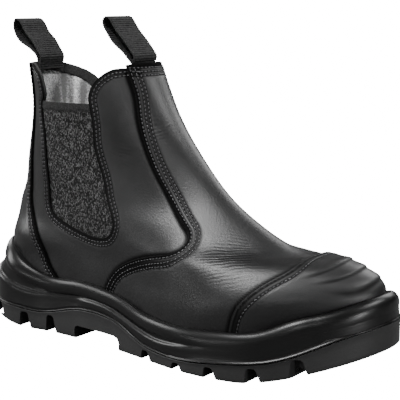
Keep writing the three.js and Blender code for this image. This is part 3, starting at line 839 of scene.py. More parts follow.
# %% Lines that carry a node tree
def line_object(name, lines):
    """Open lines as a mesh of edges, each point with the normal of what it lies on."""
    points = np.concatenate([line[0] for line in lines])
    normals = np.concatenate([line[1] for line in lines])
    edges = []
    start = 0
    for line in lines:
        count = len(line[0])
        edges += [(start + i, start + i + 1) for i in range(count - 1)]
        start += count
    mesh = bpy.data.meshes.new("lines of " + name)
    mesh.from_pydata(to_frame(points).tolist(), edges, [])
    lean = mesh.attributes.new("lean", "FLOAT_VECTOR", "POINT")
    lean.data.foreach_set("vector", normals.astype(np.float32).ravel())
    made = bpy.data.objects.new("lines of " + name, mesh)
    bpy.context.scene.collection.objects.link(made)
    return made


def grown(name, carrier, tree, values):
    """Runs a node tree on a carrier object and keeps the result as a plain mesh."""
    modifier = carrier.modifiers.new(tree.name, "NODES")
    modifier.node_group = tree
    for item in tree.interface.items_tree:
        if item.item_type == "SOCKET" and item.in_out == "INPUT" and item.name in values:
            modifier[item.identifier] = values[item.name]
    bpy.context.view_layer.update()
    evaluated = carrier.evaluated_get(bpy.context.evaluated_depsgraph_get())
    mesh = bpy.data.meshes.new_from_object(evaluated)
    mesh.name = name
    for attribute in list(mesh.attributes):
        if attribute.name == "lean":
            mesh.attributes.remove(attribute)
    mesh.polygons.foreach_set("use_smooth", np.ones(len(mesh.polygons), bool))
    made = bpy.data.objects.new(name, mesh)
    bpy.context.scene.collection.objects.link(made)
    bpy.data.objects.remove(carrier)
    return made


# %% Sew along lines
stitches = stitch_tree()
stitch_pitch = 2.8 * MM
stitch_size = Vector((2.2, thread_width, 0.6)) * MM


def sew(name, lines, thread):
    """Stitches along lines, as one piece."""
    made = grown(name, line_object(name, lines), stitches,
                 {"Pitch": stitch_pitch, "Size": stitch_size, "Material": thread})
    return finish_piece(made, thread)


# %% [markdown]
# ## Finishes
#
# Black leather is only black in colour: its look is in the gloss. The grain lives in the bump
# and in small changes of roughness, and a thin coat gives the polish of the finish. Along
# edges, seams and grooves the leather is painted darker and made duller, as painted shade
# where the hollows would hold shadow; an attribute of each shell steers it. Shared effects are
# node groups that put out a height or a mask, and each material sets its own values on them.

# %% Shader groups
def shader_group(name, inputs, outputs):
    tree = bpy.data.node_groups.new(name, "ShaderNodeTree")
    for label, kind, value in inputs:
        socket = tree.interface.new_socket(label, in_out="INPUT", socket_type=kind)
        socket.default_value = value
    for label, kind in outputs:
        tree.interface.new_socket(label, in_out="OUTPUT", socket_type=kind)
    return tree, tree.nodes.new("NodeGroupInput"), tree.nodes.new("NodeGroupOutput")


def noise(tree, vector, scale, detail=2.0, distortion=0.0):
    node = tree.nodes.new("ShaderNodeTexNoise")
    node.inputs["Detail"].default_value = detail
    node.inputs["Distortion"].default_value = distortion
    tree.links.new(vector, node.inputs["Vector"])
    if isinstance(scale, (int, float)):
        node.inputs["Scale"].default_value = scale
    else:
        tree.links.new(scale, node.inputs["Scale"])
    return node.outputs["Fac"]


def math_node(tree, operation, first, second=0.0, clamped=False):
    node = tree.nodes.new("ShaderNodeMath")
    node.operation = operation
    node.use_clamp = clamped
    for socket, value in zip(node.inputs, (first, second)):
        if isinstance(value, (int, float)):
            socket.default_value = value
        else:
            tree.links.new(value, socket)
    return node.outputs["Value"]


# %% Leather grain
def grain_group():
    """Leather grain: small pebbles with fine hair cells, and patches where it is flatter."""
    tree, start, end = shader_group("leather grain", (
        ("Vector", "NodeSocketVector", (0, 0, 0)), ("Pebbles per metre", "NodeSocketFloat", 900)),
        (("Height", "NodeSocketFloat"), ("Patches", "NodeSocketFloat")))
    vector, scale = start.outputs["Vector"], start.outputs["Pebbles per metre"]
    pebbles = tree.nodes.new("ShaderNodeTexVoronoi")
    pebbles.feature = "SMOOTH_F1"
    tree.links.new(vector, pebbles.inputs["Vector"])
    tree.links.new(scale, pebbles.inputs["Scale"])
    hair = noise(tree, vector, math_node(tree, "MULTIPLY", scale, 2.6), 3.0)
    height = math_node(tree, "ADD", math_node(tree, "MULTIPLY", pebbles.outputs["Distance"], -0.6),
                       math_node(tree, "MULTIPLY", hair, 0.5))
    patches = noise(tree, vector, 38.0, 3.0, 0.4)
    tree.links.new(height, end.inputs["Height"])
    tree.links.new(patches, end.inputs["Patches"])
    return tree


# %% Speckled weave
def weave_group():
    """Speckled weave: short upright threads of changing brightness."""
    tree, start, end = shader_group("speckled weave", (
        ("Vector", "NodeSocketVector", (0, 0, 0)), ("Threads per metre", "NodeSocketFloat", 900),
        ("Stretch", "NodeSocketFloat", 0.35)),
        (("Height", "NodeSocketFloat"), ("Speckle", "NodeSocketFloat")))
    scaled = tree.nodes.new("ShaderNodeMapping")
    stretch = tree.nodes.new("ShaderNodeCombineXYZ")
    stretch.inputs["X"].default_value = 1
    stretch.inputs["Y"].default_value = 1
    tree.links.new(start.outputs["Stretch"], stretch.inputs["Z"])
    tree.links.new(start.outputs["Vector"], scaled.inputs["Vector"])
    tree.links.new(stretch.outputs["Vector"], scaled.inputs["Scale"])
    cells = tree.nodes.new("ShaderNodeTexVoronoi")
    tree.links.new(scaled.outputs["Vector"], cells.inputs["Vector"])
    tree.links.new(start.outputs["Threads per metre"], cells.inputs["Scale"])
    speckle = tree.nodes.new("ShaderNodeSeparateColor")
    tree.links.new(cells.outputs["Color"], speckle.inputs["Color"])
    tree.links.new(math_node(tree, "SUBTRACT", 1.0, cells.outputs["Distance"]),
                   end.inputs["Height"])
    tree.links.new(speckle.outputs["Red"], end.inputs["Speckle"])
    return tree


# %% Flex wrinkles
def wrinkle_group():
    """A patch of fine wrinkles where leather flexes: waves that fade out round a centre."""
    tree, start, end = shader_group("flex wrinkles", (
        ("Vector", "NodeSocketVector", (0, 0, 0)), ("Centre", "NodeSocketVector", (0, 0, 0)),
        ("Across", "NodeSocketVector", (0, 0, 1)), ("Waves per metre", "NodeSocketFloat", 400.0),
        ("Reach", "NodeSocketFloat", 0.02)),
        (("Height", "NodeSocketFloat"),))
    links = tree.links
    offset = tree.nodes.new("ShaderNodeVectorMath")
    offset.operation = "SUBTRACT"
    links.new(start.outputs["Vector"], offset.inputs[0])
    links.new(start.outputs["Centre"], offset.inputs[1])
    across = tree.nodes.new("ShaderNodeVectorMath")
    across.operation = "DOT_PRODUCT"
    links.new(offset.outputs["Vector"], across.inputs[0])
    links.new(start.outputs["Across"], across.inputs[1])
    away = tree.nodes.new("ShaderNodeVectorMath")
    away.operation = "LENGTH"
    links.new(offset.outputs["Vector"], away.inputs[0])
    wander = math_node(tree, "MULTIPLY", noise(tree, start.outputs["Vector"], 60.0), 2.2)
    turns = math_node(tree, "MULTIPLY", across.outputs["Value"],
                      start.outputs["Waves per metre"])
    phase = math_node(tree, "MULTIPLY", math_node(tree, "ADD", turns, wander), 2 * math.pi)
    wave = math_node(tree, "SINE", phase)
    share = math_node(tree, "DIVIDE", away.outputs["Value"], start.outputs["Reach"])
    inside = math_node(tree, "SUBTRACT", 1.0, share, clamped=True)
    patchy = math_node(tree, "MULTIPLY", inside,
                       noise(tree, start.outputs["Vector"], 130.0))
    links.new(math_node(tree, "MULTIPLY", wave, patchy), end.inputs["Height"])
    return tree


grain = grain_group()
weave = weave_group()
wrinkles = wrinkle_group()
print("groups:", grain.name, "and", weave.name, "and", wrinkles.name)


# %% Material helper
def place_group(tree, group, vector, values):
    node = tree.nodes.new("ShaderNodeGroup")
    node.node_tree = group
    tree.links.new(vector, node.inputs["Vector"])
    for label, value in values.items():
        node.inputs[label].default_value = value
    return node


def ramp(tree, factor, low, high):
    """A colour ramp between two stops of (position, colour)."""
    node = tree.nodes.new("ShaderNodeValToRGB")
    for stop, (position, colour) in zip(node.color_ramp.elements, (low, high)):
        stop.position = position
        stop.color = (*colour, 1)
    tree.links.new(factor, node.inputs["Fac"])
    return node.outputs["Color"]


def spread(tree, factor, low, high):
    """Turns a factor from 0 to 1 into a value from low to high."""
    node = tree.nodes.new("ShaderNodeMapRange")
    tree.links.new(factor, node.inputs["Value"])
    node.inputs["To Min"].default_value = low
    node.inputs["To Max"].default_value = high
    return node.outputs["Result"]


def bump(tree, shader, height, depth):
    """Bump of a real depth in millimetres."""
    node = tree.nodes.new("ShaderNodeBump")
    node.inputs["Strength"].default_value = 1.0
    node.inputs["Distance"].default_value = depth * MM
    tree.links.new(height, node.inputs["Height"])
    tree.links.new(node.outputs["Normal"], shader.inputs["Normal"])


def new_material(name, values):
    """A principled material with plain values, its tree, shader and object coordinates."""
    material = bpy.data.materials.new(name)
    material.use_nodes = True
    tree = material.node_tree
    shader = tree.nodes["Principled BSDF"]
    for label, value in values.items():
        shader.inputs[label].default_value = value
    place = tree.nodes.new("ShaderNodeTexCoord").outputs["Object"]
    return material, tree, shader, place


def grey(value, tint=0.0):
    return (value, value, value * (1 + tint))


# %% Leather
FLEX_PATCHES = (
    # centre in metres, direction across the wrinkles, waves per metre, reach in metres
    ((0.160, -0.032, 0.071), (0.48, -0.73, -0.49), 420.0, 0.026),
    ((0.160, 0.030, 0.071), (0.48, 0.73, -0.49), 420.0, 0.022),
    ((0.083, -0.012, 0.142), (-0.5, 0.1, 0.85), 380.0, 0.020),
    ((0.072, -0.036, 0.131), (0.3, -0.1, 0.95), 420.0, 0.014),
)


def leather_material(name, dark, light, rough, coat, pebbles, depth, patches_of_flex=()):
    material, tree, shader, place = new_material(name, {"Coat Roughness": 0.3})
    node = place_group(tree, grain, place, {"Pebbles per metre": pebbles})
    patches = node.outputs["Patches"]
    # The shell attribute read here is painted shade with a matte finish: it darkens the base
    # colour and lowers the gloss along edges, seams, grooves and ridge feet.
    attribute = tree.nodes.new("ShaderNodeAttribute")
    attribute.attribute_name = "dull_and_shade"
    dull_and_shade = attribute.outputs["Fac"]
    tone_and_shade = math_node(tree, "MULTIPLY", patches, spread(tree, dull_and_shade, 1.0, 0.3))
    tree.links.new(ramp(tree, tone_and_shade, (0.3, grey(dark)), (0.7, grey(light, 0.04))),
                   shader.inputs["Base Color"])
    rough_patches = spread(tree, patches, rough - 0.06, rough + 0.06)
    tree.links.new(math_node(tree, "ADD", rough_patches, math_node(tree, "MULTIPLY", dull_and_shade, 0.3)),
                   shader.inputs["Roughness"])
    tree.links.new(spread(tree, dull_and_shade, 0.5, 0.04), shader.inputs["Specular IOR Level"])
    tree.links.new(spread(tree, dull_and_shade, coat, 0.0), shader.inputs["Coat Weight"])
    height = node.outputs["Height"]
    for centre, across, waves, reach in patches_of_flex:
        flex = place_group(tree, wrinkles, place, {
            "Centre": centre, "Across": across, "Waves per metre": waves, "Reach": reach})
        height = math_node(tree, "ADD", height,
                           math_node(tree, "MULTIPLY", flex.outputs["Height"], 1.1))
    bump(tree, shader, height, depth)
    return material


# %% Rubber
def rubber_material(name, shade, rough, grit, depth):
    material, tree, shader, place = new_material(name, {"Specular IOR Level": 0.35})
    fine = noise(tree, place, grit, 3.0)
    patches = noise(tree, place, 30.0, 2.0)
    tree.links.new(ramp(tree, patches, (0.3, grey(shade)), (0.7, grey(shade * 1.35))),
                   shader.inputs["Base Color"])
    tree.links.new(spread(tree, patches, rough - 0.06, rough + 0.06), shader.inputs["Roughness"])
    bump(tree, shader, fine, depth)
    return material


# %% Cloth
def painted_fold_shade(tree, place):
    """Painted shade of long upright folds in a slack cloth, as a brightness from 0 to 1."""
    stretched = tree.nodes.new("ShaderNodeMapping")
    stretched.inputs["Scale"].default_value = (150, 60, 14)
    tree.links.new(place, stretched.inputs["Vector"])
    streaks = noise(tree, stretched.outputs["Vector"], 1.0, 1.0, 0.6)
    sharper = tree.nodes.new("ShaderNodeMapRange")
    tree.links.new(streaks, sharper.inputs["Value"])
    sharper.inputs["From Min"].default_value = 0.38
    sharper.inputs["From Max"].default_value = 0.6
    return sharper.outputs["Result"]


def cloth_material(name, dark, light, threads, stretch, depth, sheen=0.0, folded=False,
                   dark_share=0.2):
    material, tree, shader, place = new_material(name, {
        "Roughness": 0.85, "Specular IOR Level": 0.3, "Sheen Weight": sheen})
    node = place_group(tree, weave, place, {"Threads per metre": threads, "Stretch": stretch})
    shade = node.outputs["Speckle"]
    # Painted fold shade: the colour is darker in the valleys of slack folds.
    if folded:
        folds = spread(tree, painted_fold_shade(tree, place), 0.25, 1.0)
        shade = math_node(tree, "MULTIPLY", spread(tree, shade, 0.4, 1.0), folds)
    tree.links.new(ramp(tree, shade, (dark_share, grey(dark)), (0.95, grey(light))),
                   shader.inputs["Base Color"])
    bump(tree, shader, node.outputs["Height"], depth)
    return material


# %% All materials
smooth_leather = leather_material(
    "smooth_leather", 0.002, 0.008, 0.43, 0.05, 900.0, 0.12, FLEX_PATCHES)
bumper_leather = leather_material("bumper_leather", 0.004, 0.008, 0.45, 0.04, 1300.0, 0.06)
foam_rubber = rubber_material("foam_rubber", 0.003, 0.34, 900.0, 0.02)
tread_rubber = rubber_material("tread_rubber", 0.02, 0.5, 1400.0, 0.1)
gore_cloth = cloth_material("gore_cloth", 0.001, 0.11, 1600.0, 0.6, 0.4, dark_share=0.5)
hem_cloth = cloth_material("hem_cloth", 0.008, 0.03, 1400.0, 1.0, 0.2)
webbing_cloth = cloth_material("webbing_cloth", 0.008, 0.03, 1500.0, 0.8, 0.2)
# The lining's colour carries painted fold shade.
lining_cloth = cloth_material("lining_cloth", 0.16, 1.0, 1500.0, 0.8, 0.3, 0.2, folded=True)
facing_cloth = cloth_material("facing_cloth", 0.010, 0.04, 2600.0, 1.0, 0.12)
sock_cloth = cloth_material("sock_cloth", 0.10, 0.16, 1400.0, 1.0, 0.15)
thread = new_material("thread", {
    "Roughness": 0.32, "Base Color": (0.04, 0.04, 0.042, 1)})[0]
print("materials:", len(bpy.data.materials))

# %% [markdown]
# ## Vamp and quarters
#
# The quarters are the inner layer, and the vamp with its long front strip lies over them. So
# the quarters run a little way under the vamp and stop there, and the vamp carries three
# stitch rows along its edge. The creases are drawn where the leather bends above the toes and
# in front of the shin: a soft trough for each, with its banks raised.

# %% Creases
crease_reach = 40.0
crease_fade = 9.0
bank_share = 0.45
bank_aside = 2.1
LATERAL_CREASES = (
    (0.22, 1.7, ((.674, .625), (.689, .645), (.706, .664), (.728, .682))),
    (0.26, 1.8, ((.676, .588), (.696, .609), (.717, .625), (.742, .641))),
    (0.22, 1.7, ((.686, .549), (.707, .577), (.729, .6))),
    (0.18, 1.6, ((.707, .53), (.725, .557), (.741, .581))),
    (0.30, 2.0, ((.391, 1.297), (.409, 1.274), (.423, 1.288), (.433, 1.323))),
)
MEDIAL_CREASES = (
    (0.22, 1.7, ((.672, .63), (.69, .64), (.712, .65))),
    (0.26, 1.8, ((.676, .585), (.698, .602), (.722, .618))),
    (0.20, 1.7, ((.69, .545), (.712, .568), (.732, .59))),
)
side_trees = {}
whole_points = whole.points()
for side in (OUTER_SIDE, INNER_SIDE):
    side_points = whole_points[np.sign(whole_points[:, 1]) == side]
    side_trees[side] = (side_points, tree_of(side_points * np.array([1, 0, 1])))


def crease_depth(points):
    """Troughs with raised banks, along lines that are drawn in side view."""
    total = np.zeros(len(points))
    for side, creases in ((OUTER_SIDE, LATERAL_CREASES), (INNER_SIDE, MEDIAL_CREASES)):
        near_points, tree = side_trees[side]
        for depth, width, rows in creases:
            line = smooth_line(side_places(rows), 2.0)
            found = [tree.find((x, 0, z))[1] for x, z in line]
            line = near_points[found]
            line = smooth_line(line[::3], 1.0)
            near = np.abs(points - line.mean(axis=0)).max(axis=1) < crease_reach
            away = distances(points[near], line)
            ends = np.minimum(np.linalg.norm(points[near] - line[0], axis=1),
                              np.linalg.norm(points[near] - line[-1], axis=1))
            fade = smoother(ends / crease_fade)
            share = away / width
            bank = bank_share * np.exp(-(share - bank_aside) ** 2)
            total[near] += depth * fade * (-np.exp(-share ** 2) + bank)
    return total


# %% Quarters
quarter_overlap = 9.0
leather_edge = 0.65
vamp_rows = (2.0, 5.1, 7.5)
gore_rows = (2.9, 5.4)
groove_width = 1.3
groove_depth = 0.35
groove_aside = 0.5
notch_low = 60.0
notch_front = 126.0


def round_notch(points):
    """Which points lie beside the collar's dip and the gore window, not beside the vamp."""
    return (points[:, 2] > notch_low) & (points[:, 0] < notch_front)


over_vamp = over_edge(whole, vamp_line, front=True)
quarter = trim(whole, quarter_overlap - over_vamp)
quarter = trim(quarter, over_notch(quarter) - leather_edge)
notch_cloud = edge_curve(quarter, round_notch)
quarter_points = quarter.points()
to_notch = cloud_distance(quarter_points, notch_cloud) + leather_edge
beside_vamp = -over_edge(quarter, vamp_line, front=True)
beside_counter = -over_edge(quarter, counter_line, front=False)
groove = np.exp(-((beside_vamp - groove_aside) / groove_width) ** 2)
groove = np.maximum(groove, np.exp(-((beside_counter - groove_aside) / groove_width) ** 2))
quarter_top = (pulled_down(to_notch, gore_rows) + crease_depth(quarter_points)
               - groove_depth * groove)
# Painted shadow: the groove beside the vamp's and the counter's edges is darkened as well as
# lowered, and the gore window's edge and rows carry painted seam shade.
quarter_dull_and_shade = np.maximum(seam_dull_and_shade(to_notch, gore_rows), 1.3 * groove).clip(0, 1)
quarters = shell("quarters", quarter, quarter_top, -leather, leather_edge, quarter_dull_and_shade)
finish_piece(quarters, smooth_leather, ["upper"])

# %% Vamp
collar_strip = (2.0, 4.6, 7.0)
strip_below_collar = 1.0
vamp_band = 8.6
low_band_top = 78.0
low_band_fade = 20.0
vamp = trim(whole, over_vamp - leather_edge)
vamp_cloud = edge_curve(vamp, lambda p: (p[:, 2] > 20) & (p[:, 2] < 185) & (p[:, 0] < 200))
vamp_points = vamp.points()
to_vamp_edge = cloud_distance(vamp_points, vamp_cloud) + leather_edge
below_collar = collar_height - strip_below_collar - vamp_points[:, 2]
vamp_top = (leather + pulled_down(to_vamp_edge, vamp_rows) + crease_depth(vamp_points)
            + pulled_down(below_collar, collar_strip))
# The stitched band is darkened and made matte towards the sole; along the edge, the rows and
# beside the cap's edge it carries painted shade.
low_band = (smoother((low_band_top - vamp_points[:, 2]) / low_band_fade)
            * (to_vamp_edge < vamp_band))
beside_cap = -over_edge(vamp, cap_line, front=True)
vamp_dull_and_shade = seam_dull_and_shade(to_vamp_edge, vamp_rows) + seam_dull_and_shade(below_collar, collar_strip)
vamp_dull_and_shade = np.maximum(vamp_dull_and_shade, 0.95 * low_band)
vamp_dull_and_shade = np.maximum(vamp_dull_and_shade, np.exp(-((beside_cap - 0.6) / groove_width) ** 2))
vamp_piece = shell("vamp", vamp, vamp_top, vamp_base, leather_edge, vamp_dull_and_shade.clip(0, 1))
finish_piece(vamp_piece, smooth_leather, ["upper"])

# %% Stitch rows of vamp and quarters
stitch_sink = 0.1
seams_start = 24.0


def above_sole(points):
    return points[:, 2] > seams_start


vamp_seams = seam_rows(vamp, to_vamp_edge, vamp_rows, leather - stitch_sink,
                       lambda p: above_sole(p) & (p[:, 2] < 188))
vamp_seams += seam_rows(vamp, below_collar, collar_strip, leather - stitch_sink,
                        lambda p: p[:, 2] > 175)
sew("stitches_vamp", vamp_seams, thread)
gore_seams = seam_rows(quarter, to_notch, gore_rows, -stitch_sink, round_notch)
sew("stitches_gores", gore_seams, thread)

# %% [markdown]
# ## Heel counter and bumper cap
#
# Both are overlays stitched on top. The cap is thicker and stiffer than the rest, with three
# low crescent ridges over the toe like overlapping shingles: each rises slowly from behind
# and drops at its front. The cap is cut from a finer sheet of its own, which keeps them crisp.

# %% Heel counter
counter = trim(whole, over_edge(whole, counter_line, front=False) - leather_edge)
counter = trim(counter, over_notch(counter) - leather_edge)
counter_cloud = edge_curve(counter, lambda p: (p[:, 2] > 20) & (p[:, 2] < 186))
counter_points = counter.points()
to_counter_edge = cloud_distance(counter_points, counter_cloud) + leather_edge
counter_rows = (1.9, 4.4)
# The counter's edge and stitch rows carry painted seam shade.
counter_shell = shell(
    "heel_counter_leather", counter, counter_top + pulled_down(to_counter_edge, counter_rows),
    vamp_base, leather_edge, seam_dull_and_shade(to_counter_edge, counter_rows))
finish_piece(counter_shell, smooth_leather, ["heel_counter"])
counter_seams = seam_rows(counter, to_counter_edge, counter_rows, counter_top - stitch_sink,
                          lambda p: above_sole(p) & (p[:, 2] < 184))
sew("stitches_counter", counter_seams, thread)

# %% Bumper cap
cap_rows = (2.2, 5.2)
cap_edge = 0.9
cap_columns = 330
cap_rows_of_grid = 150
cap_half_turn = 1.75
cap_level_to = 0.62
RIDGES = ((.874, .899, .034), (.903, .929, .042), (.933, .957, .05))
ridge_half_span = 31.0
ridge_height = 0.85


def ridges_at(points):
    """Height of the crescent ridges, and a painted shadow line along their feet."""
    lift = np.zeros(len(points))
    foot = np.zeros(len(points))
    for start, end, tips_back in RIDGES:
        aside = (points[:, 1] - swing_at(np.full(1, start * sole_length))) / ridge_half_span
        tip = start - tips_back
        front_line = (tip + (end - tip) * (1 - aside ** 2)) * sole_length
        behind = front_line - points[:, 0]
        rise = smoother((9 - behind) / 9) * smoother((behind + 0.4) / 1.9)
        there = smoother((points[:, 2] - 48) / 8) * smoother((1 - np.abs(aside)) / 0.45)
        lift += ridge_height * rise * there
        foot = np.maximum(foot, np.exp(-((behind - 0.1) / 0.8) ** 2) * there)
    return lift, foot


toe_angles = even_places(-cap_half_turn, cap_half_turn, cap_columns, column_steps)
toe_levels = even_places(0, cap_level_to, cap_rows_of_grid, level_steps)
toe_sheet = grid_sheet(toe_levels, toe_angles, closed=False)
cap = trim(toe_sheet, over_edge(toe_sheet, cap_line, front=True) - cap_edge)
cap_cloud = edge_curve(cap, lambda p: (p[:, 2] > 20) & (p[:, 0] < 262))
cap_points = cap.points()
to_cap_edge = cloud_distance(cap_points, cap_cloud) + cap_edge
ridge_lift, ridge_foot_shadow = ridges_at(cap_points)
cap_top_field = cap_top + pulled_down(to_cap_edge, cap_rows) + ridge_lift
# The cap is darkened and made matte towards the sole; its stitch rows carry painted seam shade,
# each ridge's foot a painted shadow line, and its bound edge is left nearly clear.
cap_low = smoother((58 - cap_points[:, 2]) / 20) * (to_cap_edge < cap_rows[1] + 1)
cap_dull_and_shade = np.maximum(seam_dull_and_shade(to_cap_edge, cap_rows), 0.8 * cap_low)
cap_dull_and_shade = np.where(to_cap_edge < 1.5, 0.1, cap_dull_and_shade)
cap_dull_and_shade = np.maximum(cap_dull_and_shade, 0.8 * ridge_foot_shadow)
cap_piece = shell("bumper_cap", cap, cap_top_field, cap_base - 0.1, cap_edge, cap_dull_and_shade)
finish_piece(cap_piece, bumper_leather, ["toe_cap"])
cap_seams = seam_rows(cap, to_cap_edge, cap_rows, cap_top - stitch_sink, above_sole)
sew("stitches_cap", cap_seams, thread)

# %% [markdown]
# ## Elastic gores
#
# The gore is a woven elastic that is sewn behind the leather, so it lies a little deeper and
# runs on under the window's edge. Its fine upright ribs are real relief here, and its top is
# a thick dark hem.

# %% Gores
gore_under = 3.5
rib_pitch = 1.5
rib_relief = 0.16
hem_height = 5.5
hem_step = 0.8
hem_rise = 0.7
gore_thickness = 0.9
gore_edge = 0.4
gore_rows_of_grid = 140
gore_columns = 240
GORES = {
    # piece, node it replaces, first and last angle of its sheet
    OUTER_SIDE: ("gore_outer", "gore_lateral", 1.2, 2.6),
    INNER_SIDE: ("gore_inner", "gore_medial", 3.68, 5.08),
}
gore_levels = np.linspace(0.34, 0.96, gore_rows_of_grid)


def gore_piece(side):
    """One gore and its hem, cut from a fine sheet of its own."""
    name, node, angle_from, angle_to = GORES[side]
    angles = np.linspace(angle_from, angle_to, gore_columns)
    fine = grid_sheet(gore_levels, angles, closed=False)
    fine = trim(fine, gore_under - over_notch(fine))
    top_line = storey_height(gore_top_storey, 0)
    fine = trim(fine, top_line - fine.points()[:, 2])
    points = fine.points()
    from_top = top_line - points[:, 2]
    ribs = rib_relief * np.cos(2 * math.pi * points[:, 0] / rib_pitch)
    hem = smoother((hem_height - from_top) / hem_step)
    top = -gore_depth + ribs * (1 - hem) + hem_rise * hem
    piece = shell(name, fine, top, -gore_depth - gore_thickness, gore_edge)
    finish_piece(piece, gore_cloth, [node])
    piece.data.materials.append(hem_cloth)
    centres = np.empty(len(piece.data.polygons) * 3)
    piece.data.polygons.foreach_get("center", centres)
    in_hem = centres.reshape(-1, 3)[:, 2] / MM > top_line - hem_height
    piece.data.polygons.foreach_set("material_index", in_hem.astype(np.int32))


for side in (OUTER_SIDE, INNER_SIDE):
    gore_piece(side)

# %% [markdown]
# ## Lining and facing
#
# Inside the collar the lining is a pale spacer mesh with soft upright folds, and a dark facing
# band runs along its edge. The lining is one more shell, just inside the leather. It lies on a
# coarser grid than the leather does, because so little of it shows.

# %% Lining
lining_gap = 0.1
facing_width = 6.0
webbing_width = 25.0
loop_bulge = 3.6
fold_pitch = 11.0
fold_relief = 1.6
folds_start = 100.0
lining_inset = 1.2
lining_columns = 300
lining_levels = 118
collar_sheet = trim(whole, over_notch(whole) - lining_inset)
collar_cloud = edge_curve(collar_sheet, lambda p: p[:, 2] > 110)
inner_angles = even_places(0, 2 * math.pi, lining_columns + 1, column_steps)[:-1]
inner = grid_sheet(even_places(0, 1, lining_levels, level_steps), inner_angles, closed=True)
lining_sheet = trim(inner, over_notch(inner) - lining_inset)
lining_points = lining_sheet.points()
from_collar = cloud_distance(lining_points, collar_cloud)
folded = (smoother((lining_points[:, 2] - folds_start) / 50)
          * smoother((from_collar - 4) / 7))
waver = 0.6 * np.sin(lining_points[:, 2] / 17 + lining_points[:, 0] / 9)
folds = np.cos(2 * math.pi * lining_points[:, 0] / fold_pitch + waver) - 1
lining = shell("lining", lining_sheet, -leather - lining_gap,
               -lining_depth + 0.5 * fold_relief * folds * folded, 0.3)
finish_piece(lining, lining_cloth, ["upper"])

# %% Facing band
facing_inset = 0.9
facing_thickness = 0.8
facing_sheet = trim(whole, over_notch(whole) - facing_inset)
facing_sheet = trim(facing_sheet, facing_width - cloud_distance(
    facing_sheet.points(), collar_cloud))
facing_aside = np.abs(facing_sheet.points()[:, 1])
loop_room = loop_bulge * (1 - smoother((facing_aside - webbing_width / 2) / 4))
facing = shell("collar_facing", facing_sheet, -leather - lining_gap,
               -lining_depth - facing_thickness - loop_room, 0.5)
finish_piece(facing, facing_cloth)

# %% [markdown]
# ## Webbing loops
#
# A pull loop is a strip of ribbed webbing folded over, with both legs tucked inside the
# collar. The band itself is swept along its side view path, and Geometry Nodes lay ribs
# across it at an even pitch.

# %% Ribs across a band
def rib_tree():
    tree, start, end = new_tree("ribs across a band", (
        ("Pitch", "NodeSocketFloat"), ("Rib radius", "NodeSocketFloat"),
        ("Band width", "NodeSocketFloat"), ("Rib scale", "NodeSocketVector"),
        ("Material", "NodeSocketMaterial")))
    links = tree.links
    curve = tree.nodes.new("GeometryNodeMeshToCurve")
    spaced = tree.nodes.new("GeometryNodeResampleCurve")
    spaced.mode = "LENGTH"
    rib = tree.nodes.new("GeometryNodeMeshCylinder")
    rib.inputs["Vertices"].default_value = 10
    turned = tree.nodes.new("GeometryNodeTransform")
    turned.inputs["Rotation"].default_value = (math.pi / 2, 0, 0)
    placed = tree.nodes.new("GeometryNodeInstanceOnPoints")
    real = tree.nodes.new("GeometryNodeRealizeInstances")
    coloured = tree.nodes.new("GeometryNodeSetMaterial")
    links.new(start.outputs["Geometry"], curve.inputs["Mesh"])
    links.new(curve.outputs["Curve"], spaced.inputs["Curve"])
    links.new(start.outputs["Pitch"], spaced.inputs["Length"])
    links.new(spaced.outputs["Curve"], placed.inputs["Points"])
    links.new(start.outputs["Rib radius"], rib.inputs["Radius"])
    links.new(start.outputs["Band width"], rib.inputs["Depth"])
    links.new(rib.outputs["Mesh"], turned.inputs["Geometry"])
    links.new(turned.outputs["Geometry"], placed.inputs["Instance"])
    links.new(aligned_rotation(tree), placed.inputs["Rotation"])
    links.new(start.outputs["Rib scale"], placed.inputs["Scale"])
    links.new(placed.outputs["Instances"], real.inputs["Geometry"])
    links.new(real.outputs["Geometry"], coloured.inputs["Geometry"])
    links.new(start.outputs["Material"], coloured.inputs["Material"])
    links.new(coloured.outputs["Geometry"], end.inputs["Geometry"])
    return tree


ribs_across = rib_tree()

# %% Pull loops
webbing_core = 0.9
webbing_half = 0.8
webbing_rib_pitch = 1.65
webbing_rib_radius = 0.8
webbing_selvedge = 0.6
loop_height = 32.0
loop_tuck = 12.0
leg_below_rim = 4.0
BACK_LOOP = (
    (-.06, .15), (-.2, .28), (-.37, .38), (-.565, .48), (-.7, .64), (-.75, .84),
    (-.7, .96), (-.59, .94), (-.405, .7), (-.185, .49), (-.03, .28), (.055, .14),
)
FRONT_LOOP = (
    (-.09, .1), (-.22, .23), (-.37, .34), (-.56, .5), (-.69, .68), (-.77, .82),
    (-.76, .93), (-.68, .97), (-.48, .79), (-.17, .45), (0, .25), (.07, .12),
)


# %% Path of a loop
def loop_path(node, shape, at_heel):
    """Side view path of a loop: its legs stand where the part's own solid stands."""
    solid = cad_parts[node]
    co = np.array([v.co for v in solid.data.vertices]) / MM - np.array([sole_back / MM, 0, 0])
    low = co[co[:, 2] < co[:, 2].min() + 0.5]
    feet = low[:, 0].min() + webbing_half, low[:, 0].max() - webbing_half
    rim = co[:, 2].min() + loop_tuck
    near_rim = co[np.abs(co[:, 2] - rim) < 2.5]
    shift = (near_rim[:, 0].mean() - np.mean(feet)) if len(near_rim) else 0
    root = np.mean(feet) + shift
    outer, inner = (min(feet), max(feet)) if at_heel else (max(feet), min(feet))
    bow = [(root + forward * loop_height, rim + up * loop_height) for forward, up in shape]
    first, last = (outer, inner) if at_heel else (inner, outer)
    path = [(first + shift, rim - leg_below_rim), (first + shift, rim)] + bow
    path += [(last + shift, rim), (last + shift, rim - leg_below_rim)]
    return smooth_line(path, 0.6)


